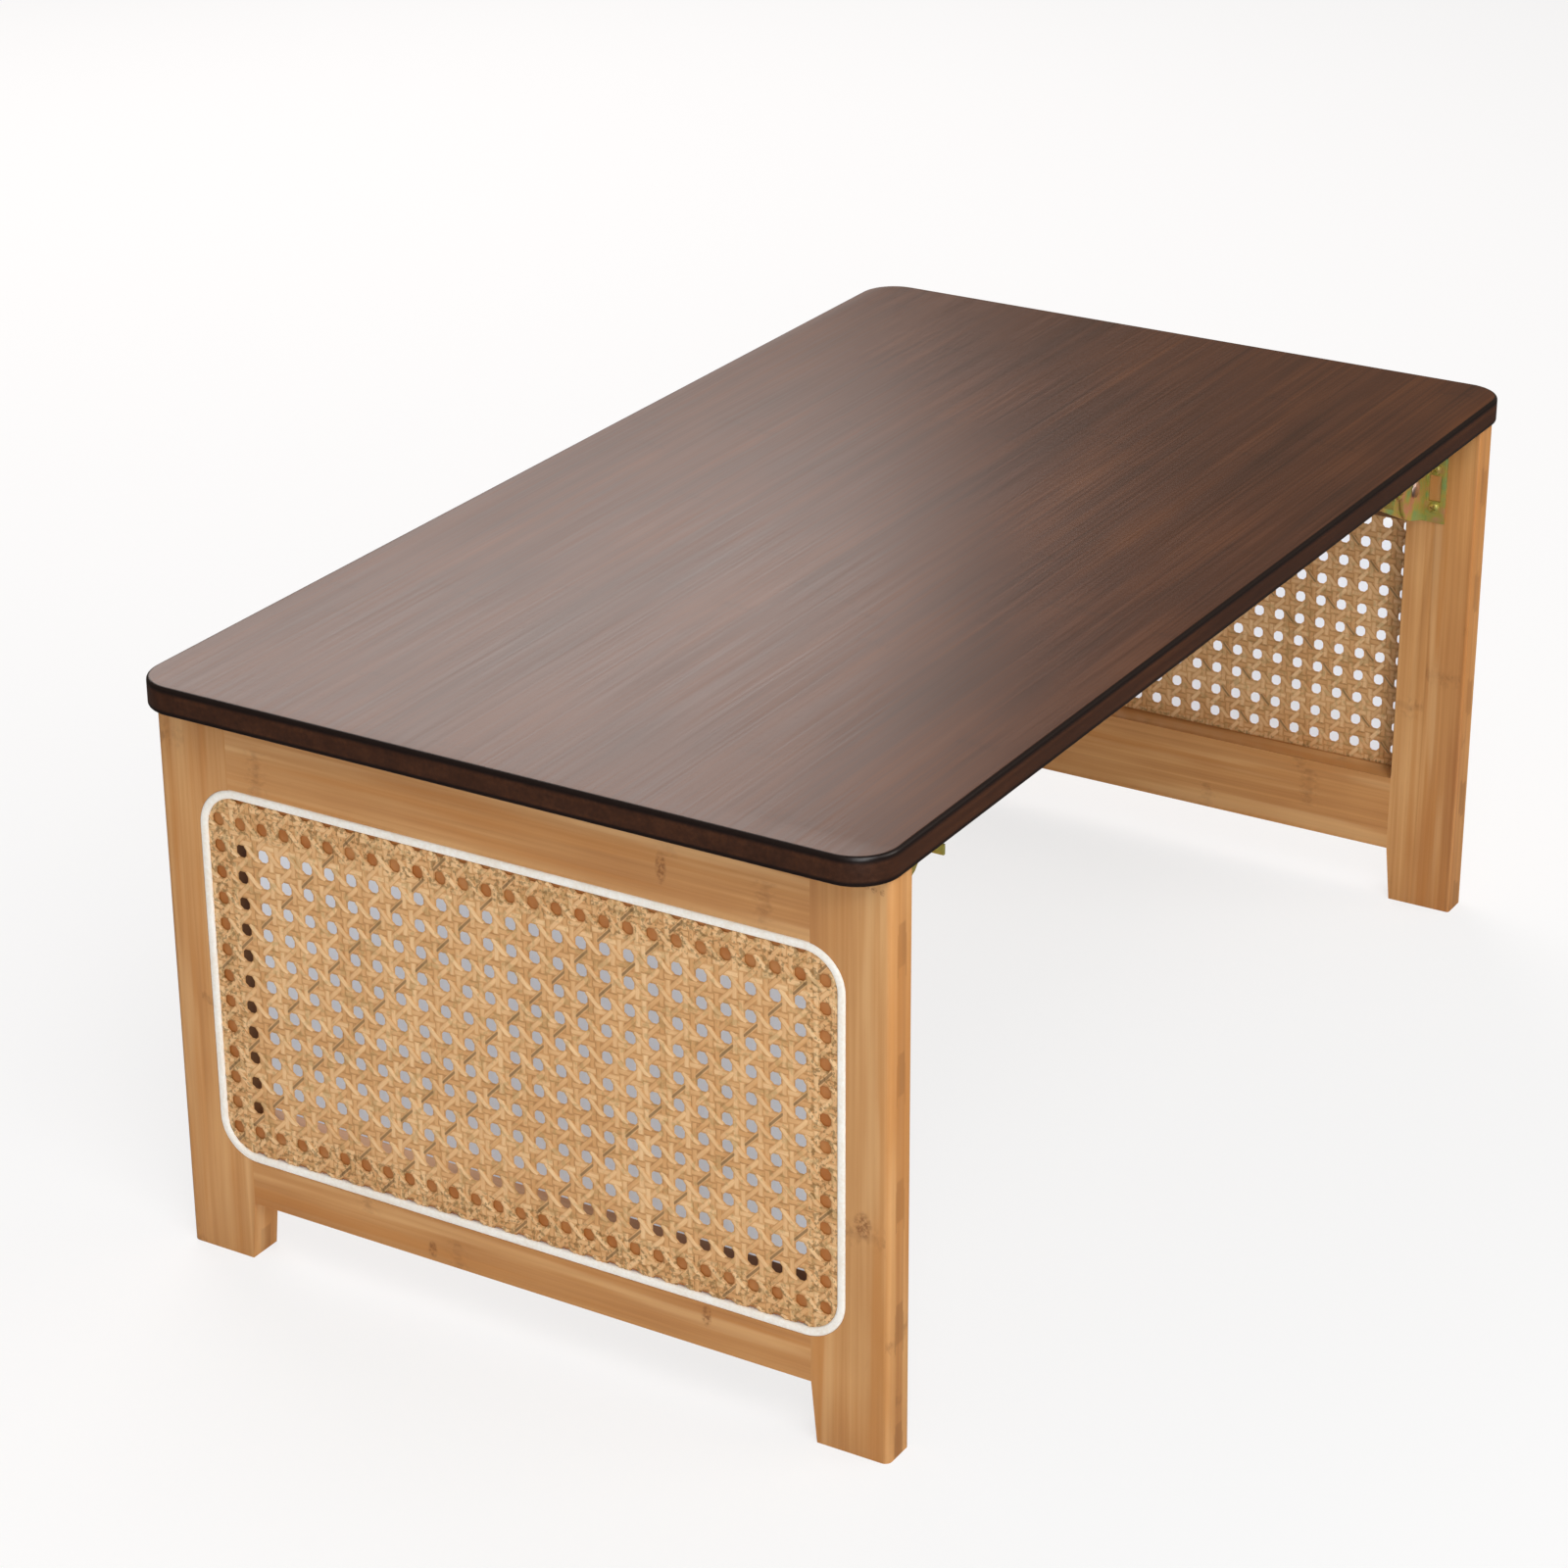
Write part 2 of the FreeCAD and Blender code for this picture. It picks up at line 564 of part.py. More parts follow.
# Leg bracket: a flange screwed to the leg's inner face, and a round cheek with one locking tooth.
def make_leg_bracket(end, hand):
    bracket = start_body(f"{end_word(end)}_{side_word(end, hand)}_leg_bracket")
    flange = start_plate_sketch(bracket, hand, "Places.half_gap")
    back = "-Sizes.pivot_inset"
    flange_face = "-Sizes.pivot_inset + Sizes.plate"
    draw_rectangle(flange, back, flange_face, "-Sizes.leg_flange_drop", "Sizes.leg_flange_rise")
    pad_outward(bracket, hand, flange, "Sizes.leg_flange_width")
    wing = start_plate_sketch(bracket, hand, "Places.half_gap")
    corners = [
        ("-Sizes.pivot_inset", "-Sizes.leg_flange_drop"),
        polar("Places.rim", "-Sizes.wing_lean"),
        ("0", "0"),
        ("-Sizes.pivot_inset", "Sizes.leg_flange_rise"),
    ]
    draw_polygon(wing, corners)
    pad_outward(bracket, hand, wing, "Sizes.plate")
    cheek = start_plate_sketch(bracket, hand, "Places.half_gap")
    draw_many_sided(cheek, *PIVOT, "Places.rim", EDGE_SIDES)
    pad_outward(bracket, hand, cheek, "Sizes.plate")
    tooth = start_plate_sketch(bracket, hand, "Places.half_gap")
    tooth_corners = [
        ("0", "0"),
        polar("Places.tooth_tip", "Sizes.tooth_start"),
        polar("Places.tooth_tip", "Sizes.tooth_end"),
    ]
    draw_polygon(tooth, tooth_corners)
    pad_outward(bracket, hand, tooth, "Sizes.plate")
    pin_hole = start_plate_sketch(bracket, hand, "0")
    draw_circle(pin_hole, *PIVOT, "Sizes.pivot_pin_radius + Sizes.pin_clearance")
    add_feature(bracket, "Pocket", pin_hole, "Places.cheek_outer", turned=hand == -1)
    flange_holes = start_sketch(bracket, "YZ_Plane", flange_face)
    line = f"{hand} * Places.screw_line"
    for height in leg_screw_heights():
        draw_many_sided(flange_holes, line, height, "Places.screw_hole_radius", SCREW_SIDES)
    middle = "(Sizes.leg_screw_rise - Sizes.leg_screw_drop) / 2"
    draw_rectangle(
        flange_holes,
        f"{line} - Sizes.slot_width / 2",
        f"{line} + Sizes.slot_width / 2",
        f"{middle} - Sizes.slot_length / 2",
        f"{middle} + Sizes.slot_length / 2",
    )
    add_feature(bracket, "Pocket", flange_holes, "Sizes.plate")
    place_on_pivot(bracket, end, hand)


# Lock lever: lies in the plane of the leg cheek; its nose stands over the tooth and stops the fold.
# Pressing the bent tab up towards the board turns the nose clear.
def make_lock_lever(end, hand):
    lever = start_body(f"{end_word(end)}_{side_word(end, hand)}_lock_lever")
    arm = start_plate_sketch(lever, hand, "Places.half_gap")
    corners = [
        polar("Places.pawl_inner", "Sizes.pawl_start"),
        polar("Places.pawl_outer", "Sizes.pawl_start"),
        ("Sizes.lever_tip", "Sizes.lever_pad_rise"),
        ("Sizes.lever_tip", "Places.lever_pad_top"),
        ("Sizes.lever_pivot_reach + Sizes.lever_boss_radius", "Sizes.lever_pivot_rise"),
        LEVER_PIVOT,
        polar("Places.pawl_outer", "Sizes.pawl_end"),
        polar("Places.pawl_inner", "Sizes.pawl_end"),
    ]
    draw_polygon(arm, corners)
    pad_outward(lever, hand, arm, "Sizes.plate")
    boss = start_plate_sketch(lever, hand, "Places.half_gap")
    draw_many_sided(boss, *LEVER_PIVOT, "Sizes.lever_boss_radius", EDGE_SIDES)
    pad_outward(lever, hand, boss, "Sizes.plate")
    tab = start_plate_sketch(lever, hand, "Places.half_gap")
    tab_inner = "Sizes.lever_tip - Sizes.plate"
    draw_rectangle(tab, tab_inner, "Sizes.lever_tip", "Sizes.lever_pad_rise", "Places.lever_pad_top")
    pad_outward(lever, hand, tab, "Sizes.lever_pad_width")
    pin_hole = start_plate_sketch(lever, hand, "0")
    draw_circle(pin_hole, *LEVER_PIVOT, "Sizes.lever_pin_radius + Sizes.pin_clearance")
    add_feature(lever, "Pocket", pin_hole, "Places.cheek_outer", turned=hand == -1)
    place_on_pivot(lever, end, hand)


# Rivets: headed pins set in the top bracket's cheek, on which the other plates turn.
# The end set in the cheek is many-sided, so that the pin can't turn in it; the pin itself is round.
def make_rivet(end, hand, name, centre, head_start):
    rivet = start_body(f"{end_word(end)}_{side_word(end, hand)}_{name}_rivet")
    pin_radius = f"Sizes.{name}_pin_radius"
    thickness = "Sizes.rivet_head_thickness"
    set_end = start_plate_sketch(rivet, hand, "-Places.cheek_outer")
    draw_many_sided(set_end, *centre, pin_radius, HEAD_SIDES)
    pad_outward(rivet, hand, set_end, "Sizes.plate")
    pin = start_plate_sketch(rivet, hand, "-Places.half_gap")
    draw_circle(pin, *centre, pin_radius)
    pad_outward(rivet, hand, pin, f"Places.half_gap + {head_start}")
    for start in (f"-Places.cheek_outer - {thickness}", head_start):
        head = start_plate_sketch(rivet, hand, start)
        draw_many_sided(head, *centre, f"Sizes.{name}_head_radius", HEAD_SIDES)
        pad_outward(rivet, hand, head, thickness)
    place_on_pivot(rivet, end, hand)


# Lever spring: a small torsion spring round the lever's rivet, one leg under the board, one on the tab.
def make_spring(end, hand):
    spring = start_body(f"{end_word(end)}_{side_word(end, hand)}_lever_spring")
    coil = start_plate_sketch(spring, hand, "Places.spring_start")
    for radius in ("Places.spring_outer", "Places.spring_inner"):
        draw_many_sided(coil, *LEVER_PIVOT, radius, HEAD_SIDES)
    pad_outward(spring, hand, coil, "Sizes.spring_width")
    upper_leg = start_plate_sketch(spring, hand, "Places.spring_start")
    centre, height = LEVER_PIVOT
    outer_side = f"{centre} - Places.spring_outer"
    inner_side = f"{centre} - Places.spring_root"
    draw_rectangle(upper_leg, outer_side, inner_side, height, "Sizes.pivot_drop")
    pad_outward(spring, hand, upper_leg, "Sizes.spring_wire")
    lower_leg = start_plate_sketch(spring, hand, "Places.spring_start")
    tab_seat = "Places.lever_pad_top + Sizes.spring_clearance"
    corners = [
        (f"{centre} + Places.spring_root", height),
        ("Sizes.lever_tip - Sizes.spring_wire", tab_seat),
        ("Sizes.lever_tip", f"{tab_seat} + Sizes.spring_wire / 2"),
        (f"{centre} + Places.spring_outer", height),
    ]
    draw_polygon(lower_leg, corners)
    pad_outward(spring, hand, lower_leg, "Sizes.spring_wire")
    place_on_pivot(spring, end, hand)


# Screws: pan-headed, alike throughout; each group of separate screws is one sub-part.
def screw_shape(seat, inwards):
    """One screw whose head rests on a plate at seat and whose shank points inwards."""
    shank = many_sided_wire(seat, inwards, sheet.screw_radius, SCREW_SIDES)
    shank = Part.Face(shank).extrude(inwards * (sheet.screw_bury + sheet.plate))
    rim = many_sided_wire(seat, inwards, sheet.screw_head_radius, HEAD_SIDES)
    crown_seat = seat - inwards * sheet.screw_head_thickness
    crown_radius = sheet.screw_head_radius * sheet.screw_crown_share
    crown = many_sided_wire(crown_seat, inwards, crown_radius, HEAD_SIDES)
    head = Part.makeLoft([rim, crown], True, True)
    return shank.fuse(head).removeSplitter()


def many_sided_wire(centre, axis, radius, sides):
    """A regular outline about centre, square to an axis that runs along X or Z."""
    across = FreeCAD.Vector(0, 1, 0) if abs(axis.x) > abs(axis.z) else FreeCAD.Vector(1, 0, 0)
    up = FreeCAD.Vector(0, 0, 1) if abs(axis.x) > abs(axis.z) else FreeCAD.Vector(0, 1, 0)
    corners = []
    for number in range(sides):
        turn = 2 * math.pi * number / sides
        corners.append(centre + across * (radius * math.cos(turn)) + up * (radius * math.sin(turn)))
    return Part.makePolygon(corners + corners[:1])


def make_top_screws():
    screws = []
    seat_height = places.underside - sheet.plate
    for end in (-1, 1):
        for across in (-1, 1):
            for step in range(3):
                reach = step * sheet.top_screw_pitch - sheet.top_screw_back
                seat = FreeCAD.Vector(
                    end * (places.pivot_reach - reach),
                    across * (places.bracket_line - places.top_screw_line),
                    seat_height,
                )
                screws.append(screw_shape(seat, FreeCAD.Vector(0, 0, 1)))
    add_shape("top_bracket_screws", Part.makeCompound(screws))


def make_leg_screws(end):
    screws = []
    depth = sheet.frame_thickness + sheet.plate
    for hand in (-1, 1):
        for height in (-sheet.leg_screw_drop, sheet.leg_screw_rise):
            line = hand * (places.bracket_line + places.screw_line)
            seat = FreeCAD.Vector(depth, line, places.pivot_rise + height)
            screws.append(screw_shape(seat, FreeCAD.Vector(-1, 0, 0)))
    group = add_shape(f"{end_word(end)}_leg_bracket_screws", Part.makeCompound(screws))
    place_on_frame(group, end)


make_board()
make_top_screws()
for end in (-1, 1):
    make_rail(end, "top_rail", *TOP_RAIL)
    make_rail(end, "bottom_rail", *LOW_RAIL)
    make_cane_panel(end)
    make_spline(end)
    make_leg_screws(end)
    for hand in (-1, 1):
        make_leg(end, hand)
        make_top_bracket(end, hand)
        make_leg_bracket(end, hand)
        make_lock_lever(end, hand)
        make_rivet(end, hand, "pivot", PIVOT, "Places.cheek_outer + Places.half_gap")
        make_rivet(end, hand, "lever", LEVER_PIVOT, "Places.spring_end + Places.half_gap")
        make_spring(end, hand)
doc.recompute()

faults = [item.Label for item in doc.Objects if "Invalid" in item.State or "Error" in item.State]
faults += [node.Label for node in nodes if node.Shape.isNull() or not node.Shape.isValid()]
if faults:
    raise RuntimeError("these did not build: " + ", ".join(faults))

os.makedirs("parts", exist_ok=True)
for node in nodes:
    node.Shape.exportStep(f"parts/{node.Label}.step")
print(len(nodes), "sub-parts written")
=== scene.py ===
import math
import random

import bmesh
import bpy
import numpy as np
from mathutils import Matrix, Vector


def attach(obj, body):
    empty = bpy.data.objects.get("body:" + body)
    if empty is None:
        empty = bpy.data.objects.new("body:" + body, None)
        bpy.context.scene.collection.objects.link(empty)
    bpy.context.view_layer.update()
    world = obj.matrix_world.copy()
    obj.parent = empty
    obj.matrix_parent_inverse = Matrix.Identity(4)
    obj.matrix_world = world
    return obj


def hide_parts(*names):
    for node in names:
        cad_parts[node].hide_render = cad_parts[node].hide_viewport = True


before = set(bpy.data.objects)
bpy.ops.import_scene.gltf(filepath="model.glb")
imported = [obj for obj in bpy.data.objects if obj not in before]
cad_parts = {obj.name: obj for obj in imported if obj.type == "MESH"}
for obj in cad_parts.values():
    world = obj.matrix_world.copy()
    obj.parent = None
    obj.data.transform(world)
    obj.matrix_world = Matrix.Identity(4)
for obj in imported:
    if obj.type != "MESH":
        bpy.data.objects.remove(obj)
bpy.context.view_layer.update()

# Camera: a catalogue view from in front of the left end, a little to the open long side.
# It stands about two metres off and looks down by 24 degrees, with a hair of tilt.
CAMERA_PLACE = (-1.6550, -0.9376, 1.0185)
CAMERA_AZIMUTH = math.radians(-59.03)
CAMERA_ELEVATION = math.radians(24.36)
CAMERA_TILT = math.radians(-0.32)
CAMERA_LENS = 93.95
CAMERA_SENSOR = 36
camera_turn = (
    Matrix.Rotation(CAMERA_AZIMUTH, 3, "Z")
    @ Matrix.Rotation(math.pi / 2 - CAMERA_ELEVATION, 3, "X")
    @ Matrix.Rotation(CAMERA_TILT, 3, "Z")
)
bpy.ops.object.camera_add(location=CAMERA_PLACE, rotation=camera_turn.to_euler())
camera = bpy.context.object
camera.data.sensor_width = CAMERA_SENSOR
camera.data.lens = CAMERA_LENS
bpy.context.scene.camera = camera
bpy.context.scene.view_settings.view_transform = "Standard"

# Studio: a pale sweep of floor and a pale surround, soft lamps above and before the left end, a weaker one
# on the open long side, and a panel beyond the far side whose sheen lies on the board's near left part.
# The floor glows a little to the camera, but not where it is seen through the cane, in the table's shadow.
FLOOR_SIZE = 14
FLOOR_COLOUR = (252, 252, 252)
FLOOR_SHADED = (240, 246, 255)
FLOOR_IN_GLOSS = (96, 90, 86)
FLOOR_GLOW = 0.72
FLOOR_ROUGHNESS = 0.9
FLOOR_SPECULAR = 0.1
# The two patches without glow, whose colour also turns to a cool painted shade: where each fades in and out along
# x, and its front and rear lines as a slope and the two offsets between which it fades.
FLOOR_IN_SHADE = (
    {"x": (-0.270, -0.235, 0.10, 0.16), "front": (0.57, -0.020, 0.030), "rear": (0.83, 0.430, 0.465)},
    {"x": (0.40, 0.46, 0.84, 0.90), "front": (0.3745, -0.318, -0.277), "rear": (0.553, 0.000, 0.050)},
)
SURROUND_LIGHT = 0.36
SURROUND_GLOSS = 0.16
SURROUND_IN_GLOSS = (255, 232, 208)
# Each lamp's name, place, width in metres, power in watts and colour.
LAMPS = (
    ("key_lamp", (-1.5, -1.6, 2.6), 1.8, 44, (255, 255, 255)),
    ("low_lamp", (-2.4, -1.8, 0.95), 1.2, 20, (255, 255, 255)),
    ("side_lamp", (0.9, -2.5, 1.7), 1.6, 20, (255, 250, 244)),
    ("sheen_panel", (1.376, 1.602, 1.75), 1.9, 31, (255, 242, 237)),
)
LAMP_AIM_HEIGHT = 0.15
NOISE_ROUGHNESS = 0.55
BUMP_STRENGTH = 0.5


def srgb(red, green, blue):
    """A colour given as it looks on screen, 0 to 255, as the shader wants it."""
    shares = []
    for level in (red, green, blue):
        share = level / 255
        shares.append(share / 12.92 if share <= 0.04045 else ((share + 0.055) / 1.055) ** 2.4)
    return (*shares, 1)


class Recipe:
    """A material's node tree, with short calls for the nodes that patterns are made of."""

    def __init__(self, name):
        self.material = bpy.data.materials.new(name)
        self.material.use_nodes = True
        self.tree = self.material.node_tree
        self.shader = self.tree.nodes["Principled BSDF"]

    def node(self, kind, **settings):
        """A new node of this kind, set up as the settings say."""
        made = self.tree.nodes.new("ShaderNode" + kind)
        for key, value in settings.items():
            setattr(made, key, value)
        return made

    def feed(self, socket, value):
        """Links another node's output to the socket, or sets the socket to a plain value."""
        if isinstance(value, bpy.types.NodeSocket):
            self.tree.links.new(value, socket)
        else:
            socket.default_value = value

    def feed_all(self, sockets, *values):
        for socket, value in zip(sockets, values):
            self.feed(socket, value)

    def math(self, operation, *values):
        made = self.node("Math", operation=operation)
        self.feed_all(made.inputs, *values)
        return made.outputs[0]

    def product(self, first, *others):
        """The shares multiplied together, which is 1 only where all of them are."""
        for other in others:
            first = self.math("MULTIPLY", first, other)
        return first

    def place(self):
        """The point on the piece, as three numbers in metres."""
        where = self.node("TexCoord")
        parts = self.node("SeparateXYZ")
        self.feed(parts.inputs[0], where.outputs["Object"])
        return list(parts.outputs)

    def vector(self, *values):
        made = self.node("CombineXYZ")
        self.feed_all(made.inputs, *values)
        return made.outputs[0]

    def noise(self, vector, scale=1.0, detail=3.0):
        made = self.node("TexNoise")
        self.feed(made.inputs["Vector"], vector)
        made.inputs["Scale"].default_value = scale
        made.inputs["Detail"].default_value = detail
        made.inputs["Roughness"].default_value = NOISE_ROUGHNESS
        return made.outputs["Fac"]

    def chance(self, vector):
        """A random number from 0 to 1 that is the same wherever the vector is."""
        made = self.node("TexWhiteNoise", noise_dimensions="3D")
        self.feed(made.inputs["Vector"], vector)
        return made.outputs["Value"]

    def spread(self, value, low, high, to_low=0.0, to_high=1.0):
        """A smooth step from to_low to to_high while the value goes from low to high."""
        made = self.node("MapRange", interpolation_type="SMOOTHSTEP")
        self.feed_all(made.inputs, value, low, high, to_low, to_high)
        return made.outputs[0]

    def ramp(self, value, *stops):
        """The colour for a value, between the given stops of position and screen colour."""
        made = self.node("ValToRGB")
        self.feed(made.inputs[0], value)
        ramp = made.color_ramp
        while len(ramp.elements) < len(stops):
            ramp.elements.new(0.5)
        for element, (position, colour) in zip(ramp.elements, stops):
            element.position = position
            element.color = srgb(*colour)
        return made.outputs["Color"]

    def mix(self, share, first, second):
        made = self.node("Mix", data_type="RGBA")
        self.feed_all((made.inputs[0], made.inputs[6], made.inputs[7]), share, first, second)
        return made.outputs[2]

    def bump(self, height, distance):
        made = self.node("Bump")
        made.inputs["Strength"].default_value = BUMP_STRENGTH
        made.inputs["Distance"].default_value = distance
        self.feed(made.inputs["Height"], height)
        self.feed(self.shader.inputs["Normal"], made.outputs[0])


def set_up_floor():
    """A matt floor that glows to the camera alone, and is a dim warm grey in gloss."""
    bpy.ops.mesh.primitive_plane_add(size=FLOOR_SIZE)
    floor = bpy.context.object
    floor.name = "floor"
    recipe = Recipe("pale_floor")
    recipe.shader.inputs["Roughness"].default_value = FLOOR_ROUGHNESS
    recipe.shader.inputs["Specular IOR Level"].default_value = FLOOR_SPECULAR
    x, y, _ = recipe.place()
    shade = 0.0
    for patch in FLOOR_IN_SHADE:
        low, low_full, high_full, high = patch["x"]
        fades = [recipe.spread(x, low, low_full), recipe.spread(x, high_full, high, 1.0, 0.0)]
        for line, ends in (("front", (0.0, 1.0)), ("rear", (1.0, 0.0))):
            slope, first, last = patch[line]
            fades.append(recipe.spread(recipe.math("MULTIPLY_ADD", x, -slope, y), first, last, *ends))
        shade = recipe.math("MAXIMUM", recipe.product(*fades), shade)
    # Inside the patches the floor is tinted towards FLOOR_SHADED, a painted cool shade.
    recipe.feed(recipe.shader.inputs["Base Color"], recipe.mix(shade, srgb(*FLOOR_COLOUR), srgb(*FLOOR_SHADED)))
    glow = recipe.node("Emission")
    dim = recipe.node("BsdfDiffuse")
    dim.inputs["Color"].default_value = srgb(*FLOOR_IN_GLOSS)
    path = recipe.node("LightPath")
    share = recipe.math("MULTIPLY", path.outputs["Is Camera Ray"], recipe.spread(shade, 0.0, 1.0, FLOOR_GLOW, 0.0))
    seen = recipe.node("MixShader")
    shone = recipe.node("MixShader")
    recipe.feed_all(seen.inputs, share, recipe.shader.outputs[0], glow.outputs[0])
    recipe.feed_all(shone.inputs, path.outputs["Is Glossy Ray"], seen.outputs[0], dim.outputs[0])
    recipe.feed(recipe.tree.nodes["Material Output"].inputs[0], shone.outputs[0])
    floor.data.materials.append(recipe.material)


def set_up_surround():
    """Pale to the camera, a weak even light on the table, and a dim warm shade in gloss."""
    world = bpy.data.worlds.new("surround")
    bpy.context.scene.world = world
    world.use_nodes = True
    tree = world.node_tree
    tree.nodes.clear()
    kinds = ("LightPath", "Background", "Background", "Background", "MixShader", "MixShader", "Math", "OutputWorld")
    made = [tree.nodes.new("ShaderNode" + kind) for kind in kinds]
    path, seen, lit, shine, by_gloss, by_camera, either, output = made
    lit.inputs["Strength"].default_value = SURROUND_LIGHT
    shine.inputs["Strength"].default_value = SURROUND_GLOSS
    shine.inputs["Color"].default_value = srgb(*SURROUND_IN_GLOSS)
    either.operation = "MAXIMUM"
    for node, *sources in (
        (either, path.outputs["Is Glossy Ray"], path.outputs["Is Transmission Ray"]),
        (by_gloss, either.outputs[0], lit.outputs[0], shine.outputs[0]),
        (by_camera, path.outputs["Is Camera Ray"], by_gloss.outputs[0], seen.outputs[0]),
        (output, by_camera.outputs[0]),
    ):
        for socket, source in zip(node.inputs, sources):
            tree.links.new(source, socket)


def hang_lamps():
    for name, place, size, power, colour in LAMPS:
        bpy.ops.object.light_add(type="AREA", location=place)
        lamp = bpy.context.object
        lamp.name = name
        lamp.data.size = size
        lamp.data.energy = power
        lamp.data.color = srgb(*colour)[:3]
        aim = Vector((-place[0], -place[1], LAMP_AIM_HEIGHT - place[2]))
        lamp.rotation_euler = aim.to_track_quat("-Z", "Y").to_euler()


set_up_floor()
set_up_surround()
hang_lamps()


# Board: laminated bamboo, stained dark brown and lacquered satin. Its corners are round,
# both rims are eased, and twelve screws hold the brackets under it.
BOARD_LENGTH = 0.690
BOARD_WIDTH = 0.390
BOARD_THICKNESS = 0.014
BOARD_TOP = 0.300
CORNER_RADIUS = 0.021
RIM_ROUND = 0.002
UNDER_ROUND = 0.0015
CORNER_STEPS = 18
RIM_STEPS = 5
BOARD_SMOOTH = math.radians(35)
SAME_HEIGHT = 0.00001
BOARD_STRIP = 0.0195
BOARD_LAYER = 0.0047
BOARD_GLOSS = 0.33
STAIN_COLOURS = ((104, 60, 30), (83, 46, 24), (62, 34, 18))
RIM_COLOUR = (24, 13, 11)
# Darker bands round the rim, painted shade on the upper arris and at the lower edge, and the whole side band
# darker:
# the heights between which each fades in and out, and its strength.
RIM_LINES = (
    (0.2960, 0.2982, 0.29990, 0.29998, 1.0),
    (0.2855, 0.2858, 0.2877, 0.2892, 1.0),
    (0.2855, 0.2858, 0.29970, 0.29985, 0.42),
)
# How strongly each part of the grain shows.
STAIN_CALM = {"tone": 0.10, "streak": 0.30, "fibre": 0.34, "cloud": 0.30, "node": 0.20, "seam": 0.10, "pore": 0.20}
STRIP_SWAY = 0.0022
STRIP_START = 4.003
LAYER_START = 4.001
TONE_SEED = 2.5
NODE_SEED = 7.5
PORE_LEVELS = (0.64, 0.76)
NODE_SPACING = 0.27
NODE_BAND = (0.004, 0.034)
NODE_LINE = (0.0020, 0.0120)
NODE_SHADE = 0.80
STRIP_SEAM = 0.0005
LAYER_SEAM = 0.0004
CORE_SOFT_EDGE = 0.0005
CORE_PHASE = 0.87
CORE_STRENGTH = 0.40
GRAIN_DEPTH = 0.00004


def choose_only(piece):
    bpy.ops.object.select_all(action="DESELECT")
    piece.select_set(True)
    bpy.context.view_layer.objects.active = piece


def select_parts(piece, kind, chosen):
    """In edit mode, selects the vertices, edges or faces for which chosen(part) is true."""
    bpy.ops.mesh.select_all(action="DESELECT")
    bpy.ops.mesh.select_mode(type=kind)
    shape = bmesh.from_edit_mesh(piece.data)
    parts = {"VERT": shape.verts, "EDGE": shape.edges, "FACE": shape.faces}[kind]
    for part in parts:
        part.select_set(bool(chosen(part)))
    shape.select_flush_mode()
    bmesh.update_edit_mesh(piece.data)


